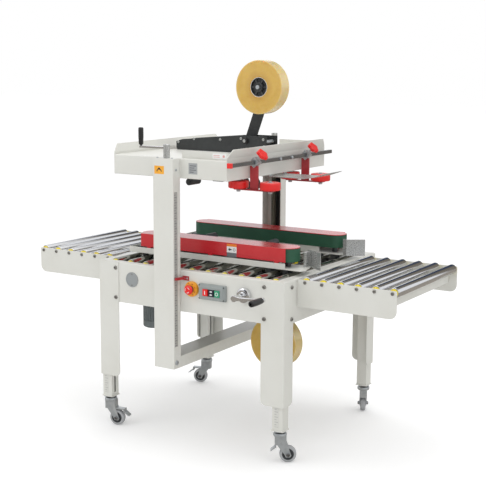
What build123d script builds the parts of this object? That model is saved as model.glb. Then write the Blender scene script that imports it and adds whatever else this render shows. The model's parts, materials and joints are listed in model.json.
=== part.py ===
# Side-belt carton sealer: a roller bed between two end conveyors, a pair of driven side belts that carry
# the carton, a portal mast that carries the upper tape head, and a lower tape head inside the bed.
# Millimetres. X runs along the conveyor (+X is the infeed end), Y across it (-Y is the operator's side),
# Z is up from the floor.
from build123d import *
import math
import os

# overall sizes
bed_length = 865.0
bed_width = 760.0
bed_top = 696.0
conveyor_length = 402.5
carton_width = 294.0
carton_height = 275.0
mast_top = 1128.0
mast_x = -77.6

# sheet metal
sheet = 3.0
panel_depth = 165.0
panel_flange = 28.0
end_flange = 38.0
joint_gap = 0.5
running_gap = 0.4
slide_gap = 1.5

# rollers
roller_radius = 19.0
roller_axle_drop = 11.8
roller_axle_radius = 5.0
roller_cap_radius = 15.0
roller_cap_length = 7.0
roller_wall = 1.5
roller_cap_hole = 2.0
bed_roller_count = 11
bed_roller_gap = 0.2
end_roller_pitch = 70.8
end_roller_count = 6
end_roller_inset = 17.0

# legs and casters
leg_flange_x = 100.0
leg_flange_y = 68.0
leg_length = 476.0
leg_corner_radius = 22.0
inner_leg_size = 45.0
inner_leg_wall = 2.5
inner_leg_length = 430.0
caster_height = 123.5
caster_wheel_radius = 32.0
caster_wheel_width = 22.0
caster_trail = 30.0
foot_plate_size = 52.0
foot_plate_thickness = 4.0

# end conveyors
conveyor_width = 573.0
conveyor_depth = 104.0
conveyor_corner_radius = 28.0
cross_member_depth = 38.0

# mast and top frame
column_width = 94.2
column_depth = 45.0
beam_drop = 389.0
beam_height = 45.0
screw_radius = 10.0
screw_hub_radius = 13.0
screw_hub_height = 52.0
crank_length = 116.0
arm_left = -346.0
arm_right = 180.0
arm_height = 77.0
arm_flange = 45.0
deck_slot_half = 50.0
upstand_height = 29.0
lip_height = 33.0
lip_lean = 18.0
tongue_half = 70.0

# press bar
press_bar_size = 15.0
press_bar_offset = 28.5
press_bar_drop = 15.0
press_bar_near_overhang = 15.0
press_bar_far_overhang = 10.0
press_near_y = -222.0
press_far_y = 178.0
press_wheel_radius = 40.0
press_wheel_height = 30.0
press_wheel_spread = 143.0
press_arm_width = 35.0
press_arm_thickness = 8.0
press_strip_drop = 124.0
press_strip_thickness = 4.0

# side belts
drum_radius = 44.0
belt_thickness = 3.0
belt_height = 50.0
belt_rise = 46.0
drive_drum_x = -298.0
idler_drum_x = 341.0
tray_rise = 19.0
tray_thickness = 5.0
tray_skirt = 23.0
cover_left = -325.0
cover_right = 359.0
cover_sheet = 2.5
guide_height = 68.0
motor_radius = 46.0
motor_drop = 298.0
guide_rod_radius = 10.0
carriage_drop = 65.0
post_clearance = 6.75

# tape heads
head_half_width = 43.0
head_sheet = 3.0
head_arm_sheet = 3.0
head_roller_radius = 14.5
head_roller_spread = 300.0
head_pivot_radius = 6.0
top_head_x = -83.0
bottom_head_x = 2.5
top_roller_drop = 150.0
bottom_roller_rise = 82.0
tape_outer_radius = 106.5
tape_core_radius = 39.0
tape_width = 60.0
spindle_radius = 8.0
top_roll_ahead = 186.0
top_roll_height = 413.0
bottom_roll_ahead = 176.5
bottom_roll_depth = 421.0
roll_bar_width = 48.0
roll_bar_thickness = 6.0

# controls on the operator's panel
estop_x = 25.0
estop_drop = 69.0
estop_ring_radius = 30.0
estop_ring_depth = 14.0
estop_button_radius = 19.0
estop_travel = 3.5
box_left = 62.0
box_right = 183.0
box_height = 61.0
box_drop = 41.0
box_depth = 22.0
push_width = 22.0
push_height = 26.0
push_travel = 2.5
stop_x = 99.0
start_x = 153.0
insert_x = 126.0
width_crank_length = 133.0
width_boss_radius = 28.6
width_shaft_radius = 9.0
grip_radius = 12.5
grip_length = 77.0

# worked out from the sizes above
bed_roller_rise = roller_axle_drop - sheet
bed_roller_inset = end_flange + math.sqrt(roller_radius ** 2 - bed_roller_rise ** 2) + bed_roller_gap
bed_roller_pitch = (bed_length - 2 * bed_roller_inset) / (bed_roller_count - 1)
leg_bottom = bed_top - 2 - leg_length
tray_bottom = bed_top + tray_rise
belt_bottom = bed_top + belt_rise
motor_bottom = bed_top - motor_drop
estop_z = bed_top - estop_drop
box_top = bed_top - box_drop
box_bottom = box_top - box_height
beam_bottom = bed_top - beam_drop
bed_end = bed_length / 2
bed_side = bed_width / 2
roller_z = bed_top - roller_axle_drop
leg_face_x = bed_end + sheet
leg_face_y = bed_side + sheet
conveyor_end = leg_face_x + conveyor_length
conveyor_side = conveyor_width / 2
column_inner = bed_side + slide_gap
column_outer = column_inner + column_depth
screw_y = bed_side + 22.0
carriage_z = bed_top - carriage_drop
belt_inner_y = carton_width / 2
belt_radius = drum_radius + belt_thickness
drum_y = belt_inner_y + belt_radius
belt_outer_y = drum_y + belt_radius
belt_top = belt_bottom + belt_height
cover_y = belt_outer_y + 3.0
tray_inner_y = belt_inner_y + 4.0
tray_outer_y = belt_outer_y + 10.0
inner_leg_x = bed_end - sheet - joint_gap - inner_leg_size / 2
inner_leg_y = bed_side - sheet - joint_gap - inner_leg_size / 2
gap_left = -bed_roller_pitch * 3.5
gap_motor = -bed_roller_pitch * 4.5
gap_screw = bed_roller_pitch * 3.5
gap_right = bed_roller_pitch * 4.5
bed_roller_end = bed_side - panel_flange
rail_y = head_half_width + 4.0
press_bar_x = arm_right + press_bar_offset
press_bar_z = mast_top - press_bar_drop
press_bar_near = bed_side + press_bar_near_overhang
press_bar_far = bed_side + press_bar_far_overhang
press_strip_bottom = mast_top - press_strip_drop
press_strip_top = press_strip_bottom + press_strip_thickness
top_roller_tip = mast_top - top_roller_drop
bottom_roller_tip = bed_top + bottom_roller_rise
top_roll_x = top_head_x + top_roll_ahead
top_roll_z = top_roller_tip + top_roll_height
bottom_roll_x = bottom_head_x + bottom_roll_ahead
bottom_roll_z = bottom_roller_tip - bottom_roll_depth
post_width = bed_roller_pitch - 2 * roller_radius - 2 * post_clearance
width_grip_end = bed_side + 82.0 + grip_length
row_shift = (width_grip_end - column_outer) / 2


def block(x, y, z):
    """A box between two limits on each axis."""
    centre = Pos((x[0] + x[1]) / 2, (y[0] + y[1]) / 2, (z[0] + z[1]) / 2)
    return centre * Box(abs(x[1] - x[0]), abs(y[1] - y[0]), abs(z[1] - z[0]))


def rod(axis, start, radius, length):
    """A round bar from start, along X, Y or Z. A negative length runs the other way."""
    turn = {"x": Rot(0, 90, 0), "y": Rot(-90, 0, 0), "z": Rot(0, 0, 0)}[axis]
    middle = {"x": Pos(length / 2, 0, 0), "y": Pos(0, length / 2, 0), "z": Pos(0, 0, length / 2)}[axis]
    return Pos(*start) * middle * turn * Cylinder(radius, abs(length))


def plate(points, low, high, axis="z"):
    """A flat plate: its outline points lie across the axis it is as thick along."""
    face = make_face(Polyline(*points, close=True))
    if axis == "y":
        return Pos(0, high, 0) * Rot(90, 0, 0) * extrude(face, high - low)
    if axis == "x":
        return Pos(low, 0, 0) * (Plane.YZ * extrude(face, high - low))
    return Pos(0, 0, low) * extrude(face, high - low)


def mirrored_y(piece):
    return piece.mirror(Plane.XZ)


def mirrored_x(piece):
    return piece.mirror(Plane.YZ)


def four_corners(pieces):
    """The pieces at the +X near corner, and their three reflections."""
    pair = pieces + [mirrored_x(piece) for piece in pieces]
    return pair + [mirrored_y(piece) for piece in pair]


def write(name, pieces):
    solids = [solid for piece in pieces for solid in (Pos(0, row_shift, 0) * piece).solids()]
    shape = Compound(solids) if len(solids) > 1 else solids[0]
    export_step(shape, f"parts/{name}.step")


def side_panel():
    """Side panel of the bed, near side: its web and its two flanges."""
    web = block((-bed_end + sheet, bed_end - sheet), (-bed_side, -bed_side + sheet),
                (bed_top - panel_depth, bed_top - sheet))
    reach = bed_end - end_flange
    top = block((-reach, reach), (-bed_side, -bed_roller_end), (bed_top - sheet, bed_top))
    foot = bed_end - leg_flange_x + 40
    low = block((-foot, foot), (-bed_side + sheet, -bed_roller_end),
                (bed_top - panel_depth, bed_top - panel_depth + sheet))
    web -= rod("y", (gap_screw, -bed_side - 1, carriage_z), width_shaft_radius + joint_gap, sheet + 2)
    return [web, top, low]


def end_panel():
    """End panel of the bed at the +X end: its web, its wide top flange and its foot flange."""
    web = block((bed_end - sheet, bed_end), (-bed_side, bed_side), (bed_top - panel_depth, bed_top - sheet))
    top = block((bed_end - end_flange, bed_end), (-bed_side, bed_side), (bed_top - sheet, bed_top))
    foot = bed_side - inner_leg_size - 10
    low = block((bed_end - panel_flange, bed_end - sheet), (-foot, foot),
                (bed_top - panel_depth, bed_top - panel_depth + sheet))
    return [web, top, low]


def outer_leg():
    """Angle leg over the bed's corner: a front and a side plate with rounded lower corners."""
    top = bed_top - 2
    front = block((leg_face_x - leg_flange_x, leg_face_x), (-leg_face_y, -bed_side), (leg_bottom, top))
    corner = front.edges().filter_by(Axis.Y).group_by(Axis.Z)[0].sort_by(Axis.X)[0]
    front = fillet(corner, leg_corner_radius)
    side = block((bed_end, leg_face_x), (-bed_side, -leg_face_y + leg_flange_y), (leg_bottom, top))
    corner = side.edges().filter_by(Axis.X).group_by(Axis.Z)[0].sort_by(Axis.Y)[-1]
    return [front, fillet(corner, leg_corner_radius)]


def conveyor_plate():
    """Near side plate of the infeed conveyor, round at its free end."""
    top = bed_top - 1.4
    piece = block((leg_face_x, conveyor_end), (-conveyor_side, -conveyor_side + sheet),
                  (top - conveyor_depth, top))
    corners = piece.edges().filter_by(Axis.Y).group_by(Axis.X)[-1].sort_by(Axis.Z)
    piece = fillet(corners[0], conveyor_corner_radius)
    corners = piece.edges().filter_by(Axis.Y).sort_by(Axis.Z)[-2:].sort_by(Axis.X)
    piece = fillet(corners[-1], roller_axle_drop / 2)
    for index in range(end_roller_count):
        x = end_roller_x(index)
        piece -= rod("y", (x, -conveyor_side - 1, roller_z), roller_axle_radius + running_gap, sheet + 2)
    return piece


def end_roller_x(index):
    """Rollers are counted from the free end of the conveyor."""
    return conveyor_end - end_roller_inset - index * end_roller_pitch


def conveyor_cross():
    x = conveyor_end - end_roller_inset - roller_radius
    z = roller_z - roller_radius - 3 - cross_member_depth
    half = conveyor_side - sheet
    web = block((x, x + sheet), (-half, half), (z, z + cross_member_depth))
    return [web, block((x - 18, x), (-half, half), (z, z + sheet))]


def roller(x, y_low, y_high, z):
    """Thin tube on two end caps, each with a small vent hole, joined by the axle."""
    start = y_low + roller_cap_length
    length = y_high - y_low - 2 * roller_cap_length
    body = rod("y", (x, start, z), roller_radius, length)
    body -= rod("y", (x, start - 1, z), roller_radius - roller_wall, length + 2)
    for y in (y_low, y_high - 2 * roller_cap_length):
        cap = rod("y", (x, y, z), roller_cap_radius, 2 * roller_cap_length)
        inner = start if y == y_low else y
        cap += rod("y", (x, inner, z), roller_radius - roller_wall, roller_cap_length)
        vent = (roller_axle_radius + roller_cap_radius) / 2
        body += cap - rod("y", (x, y - 1, z + vent), roller_cap_hole, 2 * roller_cap_length + 2)
    return body + rod("y", (x, y_low, z), roller_axle_radius, y_high - y_low)


def conveyor_roller(x):
    inner = conveyor_side - sheet
    body = roller(x, -inner + 2.5, inner - 2.5, roller_z)
    return body + rod("y", (x, -conveyor_side + 1, roller_z), roller_axle_radius, conveyor_width - 2)


def bed_rollers():
    """Whole rollers at the ends, and split ones where the lower tape head stands between them."""
    pieces = []
    half = (bed_roller_count - 1) / 2
    for index in range(bed_roller_count):
        x = (index - half) * bed_roller_pitch
        if abs(x - bottom_head_x) > head_length / 2 + roller_radius:
            axle = rod("y", (x, -bed_side + sheet, roller_z), roller_axle_radius, bed_width - 2 * sheet)
            pieces.append(roller(x, -bed_roller_end, bed_roller_end, roller_z) + axle)
            continue
        start = rail_y + sheet
        axle = rod("y", (x, start, roller_z), roller_axle_radius, bed_side - sheet - start)
        split = roller(x, start + 2, bed_roller_end, roller_z) + axle
        pieces += [split, mirrored_y(split)]
    return pieces


def inner_leg():
    """Square tube leg with its clamp slot on the inner face, and the foot plate."""
    x = inner_leg_x
    y = -inner_leg_y
    half = inner_leg_size / 2
    bore = half - inner_leg_wall
    z = caster_height + foot_plate_thickness
    tube = block((x - half, x + half), (y - half, y + half), (z, z + inner_leg_length))
    tube -= block((x - bore, x + bore), (y - bore, y + bore), (z - 1, z + inner_leg_length + 1))
    slot = block((x - half - 1, x - bore + 1), (y - 5, y + 5), (z + 12, z + inner_leg_length * 0.8))
    foot = foot_plate_size / 2
    return tube - slot + block((x - foot, x + foot), (y - foot, y + foot), (caster_height, z))


def caster(x, y, trail_angle, pedal_side):
    """Swivel fork with its brake pedal, and the wheel, trailing along the given angle."""
    head = caster_height - 3
    crown = 2 * caster_wheel_radius + 5
    cheek = caster_wheel_width / 2 + 1.5
    fork = block((-22, 22), (-22, 22), (head, caster_height)) + rod("z", (0, 0, head - 14), 20, 14)
    fork += block((-20, 24), (-cheek - 2.5, cheek + 2.5), (crown, head - 14))
    outline = [(-20, crown + 12), (24, crown + 12), (caster_trail + 13, caster_wheel_radius - 4),
               (caster_trail + 8, caster_wheel_radius - 11), (caster_trail - 8, caster_wheel_radius - 11),
               (caster_trail - 13, caster_wheel_radius)]
    for side in (-1, 1):
        low, high = sorted((side * cheek, side * (cheek + 2.5)))
        fork += plate(outline, low, high, "y")
    fork += rod("y", (caster_trail, -cheek - 6, caster_wheel_radius), 7, 3.5)
    fork += rod("y", (caster_trail, cheek + 2.5, caster_wheel_radius), 7, 3.5)
    fork += rod("y", (caster_trail, -cheek - 3, caster_wheel_radius), 4, 2 * cheek + 6)
    tip = caster_trail + pedal_side * (caster_wheel_radius + 24)
    root = caster_trail + pedal_side * (caster_wheel_radius + 3)
    if pedal_side < 0:
        root = -18
        tip = -36
    pedal = plate([(root, crown - 12), (tip, crown - 26), (tip, crown - 22), (root, crown - 6)],
                  -cheek, cheek, "y")
    link_end = 18 if pedal_side > 0 else -14
    link = block(tuple(sorted((root, link_end))), (-cheek, cheek), (crown - 1, crown + 4))
    riser = block(tuple(sorted((root, root - pedal_side * 4))), (-cheek, cheek), (crown - 12, crown + 4))
    wheel = rod("y", (caster_trail, -caster_wheel_width / 2, caster_wheel_radius), caster_wheel_radius,
                caster_wheel_width)
    wheel = fillet(wheel.edges().filter_by(GeomType.CIRCLE), 5)
    wheel -= rod("y", (caster_trail, -cheek - 6, caster_wheel_radius), 4 + running_gap, 2 * cheek + 12)
    place = Pos(x, y, 0) * Rot(0, 0, trail_angle)
    return place * (fork + link + riser + pedal), place * wheel


def column():
    """Near mast column: a channel open towards the bed."""
    x0 = mast_x - column_width / 2
    x1 = mast_x + column_width / 2
    z = (beam_bottom, mast_top)
    shell = block((x0, x1), (-column_outer, -column_inner), z)
    shell -= block((x0 + sheet, x1 - sheet), (-column_outer + sheet, -column_inner + 1),
                   (beam_bottom + beam_height, mast_top - sheet))
    return shell - rod("z", (mast_x, -screw_y, mast_top - 10), screw_radius + joint_gap, 20)


def slide_strip():
    """Dark low-friction strip on the inside of the column's web."""
    y = -column_outer + sheet
    return block((mast_x - 24, mast_x + 24), (y, y + 4), (beam_bottom + beam_height, mast_top - sheet))


def beam():
    """Rectangular tube under the bed that ties the two columns."""
    half = column_width / 2
    z = (beam_bottom, beam_bottom + beam_height)
    tube = block((mast_x - half, mast_x + half), (-column_inner, column_inner), z)
    return tube - block((mast_x - half + sheet, mast_x + half - sheet), (-column_inner - 1, column_inner + 1),
                        (z[0] + sheet, z[1] - sheet))


def lead_screw():
    """Screw inside the column with its socket hub on top, near side."""
    low = beam_bottom + beam_height + 10
    screw = rod("z", (mast_x, -screw_y, low), screw_radius, mast_top - low)
    gap = joint_gap
    return screw + rod("z", (mast_x, -screw_y, mast_top + gap), screw_hub_radius, screw_hub_height - gap) \
        + rod("z", (mast_x, -screw_y, mast_top - 5), screw_radius, 8)


def mast_crank():
    """Near screw with its crank arm and upright grip."""
    z = mast_top + 35
    reach = crank_length
    arm = plate([(0, -9), (0, 9), (-reach, 7), (-reach, -7)], z, z + 8)
    arm += rod("z", (-reach, 0, z), 7, 8)
    arm = Pos(mast_x, -screw_y, 0) * Rot(0, 0, 4) * arm
    arm -= rod("z", (mast_x, -screw_y, z - 1), screw_hub_radius, 10)
    grip = rod("z", (-reach, 0, z + 8), 5, 6) + rod("z", (-reach, 0, z + 12), 10, 66)
    grip = Pos(mast_x, -screw_y, 0) * Rot(0, 0, 4) * grip
    return [lead_screw(), arm, grip]


def top_arm():
    """Near arm of the top frame, a channel open inwards: its web and its two flanges."""
    x = (arm_left, arm_right)
    y0 = -column_inner
    z0 = mast_top - arm_height
    web = block(x, (y0, y0 + sheet), (z0, mast_top))
    low = block(x, (y0 + sheet, y0 + arm_flange), (z0, z0 + sheet))
    high = block(x, (y0 + sheet, y0 + arm_flange), (mast_top - sheet, mast_top))
    return [web, low, high]


def top_deck():
    """Deck plates on each side of the tape head, and the end cross-members with their leaning lips."""
    z = (mast_top - sheet, mast_top)
    inner = column_inner - arm_flange
    near = block((arm_left, arm_right), (-inner, -deck_slot_half), z)
    upstand = block((mast_x + column_width / 2, arm_right), (-column_inner + 14, -column_inner + 14 + sheet),
                    (mast_top, mast_top + upstand_height))
    pieces = [near, mirrored_y(near), upstand, mirrored_y(upstand)]
    ends = [(arm_right, arm_right + sheet, 1), (arm_left - sheet, arm_left, -1)]
    for low, high, side in ends:
        top = mast_top + 8
        pieces.append(block((low, high), (-column_inner, column_inner), (mast_top - arm_height, top)))
        outline = [(-column_inner, 0), (column_inner, 0), (column_inner - 30, lip_height),
                   (30 - column_inner, lip_height)]
        lip = Pos(-side * sheet / 2, 0, 0) * plate(outline, -sheet / 2, sheet / 2, "x")
        foot = top + sheet * math.sin(math.radians(lip_lean))
        pieces.append(Pos((low + high) / 2, 0, foot) * Rot(0, side * lip_lean, 0) * lip)
    return pieces


def press_bar():
    """Square cross bar, its two spacers to the cross-member, and the end cap."""
    half = press_bar_size / 2
    x = (press_bar_x - half, press_bar_x + half)
    z = (press_bar_z - half, press_bar_z + half)
    pieces = [block(x, (-press_bar_near, press_bar_far), z)]
    for y in (-45, 45):
        pieces.append(rod("x", (arm_right + sheet, y, press_bar_z), 6, x[0] - arm_right - sheet))
        pieces.append(rod("x", (x[1], y, press_bar_z), 6, 5))
    cap = block((x[0] - 2, x[1] + 2), (-press_bar_near - 12, -press_bar_near), (z[0] - 2, z[1] + 2))
    return pieces + [cap]


def press_arm(y):
    """Diamond clamp on the bar, red drop arm, base strip, and the lobed clamp knob."""
    clamp = Pos(press_bar_x, y, press_bar_z) * Rot(0, 45, 0) * Box(30, 26, 30)
    hole = press_bar_size + 2 * running_gap
    clamp -= Pos(press_bar_x, y, press_bar_z) * Box(hole, 28, hole)
    left = arm_right + sheet + 4
    drop = block((left, left + press_arm_width), (y - press_arm_thickness / 2, y + press_arm_thickness / 2),
                 (press_strip_top, press_bar_z - 14))
    spread = press_wheel_spread / 2
    middle = left + press_arm_width / 2
    strip = block((middle - spread - 14, middle + spread + 14), (y - 14, y + 14),
                  (press_strip_bottom, press_strip_top))
    pins = []
    for side in (-1, 1):
        x = middle + side * spread
        pins.append(rod("z", (x, y, press_strip_top), 6, press_wheel_height + 6))
        pins.append(rod("z", (x, y, press_strip_bottom), 8, -8))
    knob = rod("z", (0, 0, 21), 5, 22)
    lobes = rod("z", (0, 0, 37), 19, 14)
    for index in range(5):
        lobes += Pos(0, 0, 37) * Rot(0, 0, 72 * index) * rod("z", (17, 0, 0), 8, 14)
    knob = Pos(press_bar_x, y, press_bar_z) * Rot(0, 45, 0) * (knob + lobes)
    return [clamp - drop, drop, strip] + pins + [knob]


def press_wheel(y, side):
    middle = arm_right + sheet + 4 + press_arm_width / 2
    x = middle + side * press_wheel_spread / 2
    wheel = rod("z", (x, y, press_strip_top + 2), press_wheel_radius, press_wheel_height)
    wheel = fillet(wheel.edges().filter_by(GeomType.CIRCLE), 5)
    return wheel - rod("z", (x, y, press_strip_top - 5), 6 + running_gap, press_wheel_height + 20)


def flap_guide():
    """Stainless tongue that folds the flaps down, turned up at its nose, hung from the right cross-member."""
    z = mast_top - arm_height - 9
    start = 94.0
    bend = arm_right + 154
    nose = bend + 95
    rise = 24.0
    outline = [(start, z), (bend, z), (bend + 50, z + rise * 0.35), (nose, z + rise), (nose, z + rise + 2.5),
               (bend + 50, z + rise * 0.35 + 2.5), (bend, z + 2.5), (start, z + 2.5)]
    tongue = plate(outline, -tongue_half, tongue_half, "y")
    fork = head_half_width - 1
    tongue -= block((start - 1, start + 42), (-fork, fork), (z - 1, z + 4))
    lugs = []
    for y in (-58, 58):
        lugs.append(block((arm_right - 3, arm_right), (y - 12, y + 12), (z + 2.5, mast_top - 20)))
    return [tongue] + lugs


def stadium(radius, low, high):
    """Solid outline of a belt round both drums, near side."""
    body = block((drive_drum_x, idler_drum_x), (-drum_y - radius, -drum_y + radius), (low, high))
    body += rod("z", (drive_drum_x, -drum_y, low), radius, high - low)
    return body + rod("z", (idler_drum_x, -drum_y, low), radius, high - low)


def side_belt():
    return stadium(belt_radius, belt_bottom, belt_top) - stadium(drum_radius, belt_bottom - 1, belt_top + 1)


def belt_cover():
    """Top plate over the belt and the outer side plate, with stand-offs to the tray's skirt."""
    low = belt_top + 1
    high = low + cover_sheet
    top = stadium(belt_radius, low, high)
    side = block((cover_left, cover_right), (-cover_y - cover_sheet, -cover_y), (belt_bottom, high))
    lid = block((cover_left, cover_right), (-cover_y, -drum_y), (low, high))
    feet = []
    for x in (cover_left + 40, (cover_left + cover_right) / 2, cover_right - 40):
        feet.append(block((x - 10, x + 10), (-cover_y - cover_sheet, -cover_y),
                          (tray_bottom + tray_thickness, belt_bottom)))
    shell = top + side + lid
    for foot in feet:
        shell += foot
    return shell


def belt_base():
    """Tray with its skirt, carriages on the guide rods, idler drum, slider bar, guide and gear motor."""
    z0 = tray_bottom
    z1 = tray_bottom + tray_thickness
    left = drive_drum_x - 82
    right = idler_drum_x + 96
    tray = plate([(left, -tray_inner_y), (right - 20, -tray_inner_y), (right, -tray_outer_y + 25),
                  (right - 12, -tray_outer_y), (left, -tray_outer_y)], z0, z1)
    skirt_end = cover_right + 1
    skirt = block((left, skirt_end), (-tray_outer_y, -tray_outer_y + sheet), (z1, z0 + tray_skirt))
    skirt += block((left, left + sheet), (-tray_outer_y, -tray_inner_y), (z1, z0 + tray_skirt))
    tray += skirt
    carriages = []
    for x in (gap_left, gap_screw, gap_right):
        post = block((x - post_width / 2, x + post_width / 2), (-drum_y - 20, -drum_y + 20),
                     (carriage_z + 20, z0))
        body = block((x - 20, x + 20), (-drum_y - 25, -drum_y + 25), (carriage_z - 20, carriage_z + 20))
        radius = width_shaft_radius if x == gap_screw else guide_rod_radius
        body -= rod("y", (x, -drum_y - 26, carriage_z), radius + running_gap, 52)
        carriages += [post, body]
    idler = rod("z", (idler_drum_x, -drum_y, z1), 12, belt_bottom - z1)
    idler += rod("z", (idler_drum_x, -drum_y, belt_bottom), drum_radius, belt_height)
    slider = block((drive_drum_x + drum_radius + 10, idler_drum_x - drum_radius - 10),
                   (-drum_y + drum_radius - 12, -drum_y + drum_radius), (z1, belt_top - 3))
    case = block((gap_motor - 20, drive_drum_x + 30), (-drum_y - 30, -drum_y + 30), (z1, belt_bottom - 3))
    case -= rod("z", (drive_drum_x, -drum_y, z1 - 1), 12 + running_gap, belt_bottom - z1)
    path = [(right - 37, -belt_inner_y), (right - 21, -belt_inner_y), (right + 43, -belt_inner_y - 41)]
    inner = [(right + 42, -belt_inner_y - 43), (right - 22, -belt_inner_y - 2),
             (right - 37, -belt_inner_y - 2)]
    guide = plate(path + inner, z0, z0 + guide_height)
    brace = block((right - 37, right - 25), (-tray_inner_y - 28, -belt_inner_y - 2),
                  (z1, z0 + guide_height - 6))
    tray -= block((right - 38, right + 50), (-tray_inner_y, 0), (z0 - 1, z1 + 1))
    gear_bottom = carriage_z - 66
    gear_top = carriage_z - 20
    motor_x = gap_motor + 40
    motor = rod("z", (motor_x, -drum_y, motor_bottom), motor_radius, gear_bottom - motor_bottom)
    gearbox = block((gap_motor - 30, gap_motor + 84), (-drum_y - 38, -drum_y + 38), (gear_bottom, gear_top))
    hanger = rod("z", (gap_motor, -drum_y, gear_top), post_width / 2, z0 - gear_top)
    terminals = block((motor_x, motor_x + motor_radius + 14), (-drum_y - 26, -drum_y + 26),
                      (motor_bottom + 40, motor_bottom + 110))
    terminals -= rod("z", (motor_x, -drum_y, motor_bottom), motor_radius, gear_bottom - motor_bottom)
    return [tray, idler, slider, case, guide, brace, motor, gearbox, hanger, terminals] + carriages


def drive_drum():
    """Drum that drives the belt, with its shaft down into the chain case."""
    drum = rod("z", (drive_drum_x, -drum_y, belt_bottom), drum_radius - running_gap, belt_height)
    shaft_bottom = tray_bottom + tray_thickness + 1
    return drum + rod("z", (drive_drum_x, -drum_y, shaft_bottom), 12, belt_bottom + 1 - shaft_bottom)


def bed_guides():
    """Guide rods across the bed, the rails beside the lower tape head, and the mast's nut blocks."""
    inner = bed_side - sheet
    pieces = []
    for x in (gap_left, gap_right):
        pieces.append(rod("y", (x, -inner, carriage_z), guide_rod_radius, 2 * inner))
    low = roller_z - roller_radius - 20
    reach = bed_end - sheet
    head_reach = head_length / 2
    top = roller_z + 8
    outline = [(-reach, low), (reach, low), (reach, low + 15), (bottom_head_x + head_reach, low + 15),
               (bottom_head_x + head_reach, top), (bottom_head_x - head_reach, top),
               (bottom_head_x - head_reach, low + 15), (-reach, low + 15)]
    rail = plate(outline, rail_y, rail_y + sheet, "y")
    pieces += [rail, mirrored_y(rail)]
    nut = block((mast_x - 22, mast_x + 22), (-column_outer + sheet + 7, -bed_side),
                (bed_top - 96, bed_top - 46))
    nut -= rod("z", (mast_x, -screw_y, bed_top - 97), screw_radius + running_gap, 52)
    return pieces + [nut, mirrored_y(nut)]


# A tape head is drawn as the upper one, about its own middle, with its roller tips at z = 0.
head_height = 219.0
head_pivot_z = 112.0
head_pivot_spread = 186.0
head_left = -207.0
head_right = 233.0
head_length = head_right - head_left


def head_plate():
    """Side plate outline: low at the back, raked up to the front."""
    return [(head_left, 155), (head_left, 184), (head_left + 30, 193), (110, head_height),
            (head_right, head_height), (head_right, 172), (head_right - 30, 100),
            (-head_pivot_spread / 2 - 22, 92), (head_left + 28, 130)]


def head_frame(place, roll_x, roll_z):
    """Side plates, spacers, knife holder, pivot pins, roll bar and spindle."""
    inner = head_half_width - head_sheet
    pieces = [plate(head_plate(), inner, head_half_width, "y")]
    pieces.append(mirrored_y(pieces[0]))
    spacers = [(head_left + 20, 168), (-60, 190), (head_right - 22, 196)]
    for x, z in spacers:
        pieces.append(rod("y", (x, -inner, z), 7, 2 * inner))
    pieces.append(block((-26, 22), (-inner, inner), (26, 104)))
    for side in (-1, 1):
        x = side * head_pivot_spread / 2
        pieces.append(rod("y", (x, -inner, head_pivot_z), head_pivot_radius, 2 * inner))
    foot_x = 105.0
    foot_z = 190.0
    length = math.hypot(roll_x - foot_x, roll_z - foot_z)
    lean = math.degrees(math.atan2(roll_x - foot_x, roll_z - foot_z))
    half = roll_bar_width / 2
    bar = block((-half, half), (inner - roll_bar_thickness, inner), (-20, length + half))
    bar = Pos(foot_x, 0, foot_z) * Rot(0, lean, 0) * bar
    pieces.append(bar)
    start = inner - roll_bar_thickness
    pieces.append(rod("y", (roll_x, start, roll_z), spindle_radius, -start - tape_width / 2 - 10))
    return [place(piece) for piece in pieces]


def head_arm(side):
    """Roller arm: two cheeks on a pivot sleeve, a stay and the tape roller. Side +1 is the front one."""
    cheek = head_half_width - head_sheet - 1
    pivot_x = side * head_pivot_spread / 2
    roller_x = side * head_roller_spread / 2
    z = head_roller_radius
    near_x = head_pivot_spread / 2
    far_x = head_roller_spread / 2
    outline = [(near_x - 12, head_pivot_z + 10), (near_x + 12, head_pivot_z + 10),
               (far_x + 10, z + 4), (far_x + 7, z - 8), (far_x - 7, z - 8), (far_x - 12, z + 6)]
    if side < 0:
        outline = [(-x, z) for x, z in outline]
    cheeks = []
    for flank in (-1, 1):
        low, high = sorted((flank * cheek, flank * (cheek - head_arm_sheet)))
        cheeks.append(plate(outline, low, high, "y"))
    inner = cheek - head_arm_sheet
    sleeve = rod("y", (pivot_x, -inner, head_pivot_z), 10, 2 * inner)
    frame = cheeks[0] + cheeks[1] + sleeve
    middle = (pivot_x + roller_x) / 2
    frame += rod("y", (middle, -inner, (head_pivot_z + z) / 2), 5, 2 * inner)
    frame -= rod("y", (pivot_x, -cheek - 1, head_pivot_z), head_pivot_radius + running_gap, 2 * cheek + 2)
    tape_roller = rod("y", (roller_x, -inner, z), head_roller_radius, 2 * inner)
    return [frame, tape_roller]


def tape_roll(x, z):
    """Roll of tape and the hub in its core, free on the spindle."""
    half = tape_width / 2
    tape = rod("y", (x, -half, z), tape_outer_radius, tape_width)
    tape -= rod("y", (x, -half - 1, z), tape_core_radius, tape_width + 2)
    hub = rod("y", (x, -half + 4, z), tape_core_radius, tape_width - 8)
    hub += rod("y", (x, -half - 3, z), tape_core_radius * 0.5, tape_width)
    hub -= rod("y", (x, -half - 4, z), spindle_radius + running_gap, tape_width + 8)
    return [tape, hub]


def upper_place(piece):
    return Pos(top_head_x, 0, top_roller_tip) * piece


def lower_place(piece):
    return Pos(bottom_head_x, 0, bottom_roller_tip) * piece.mirror(Plane.XY)


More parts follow.
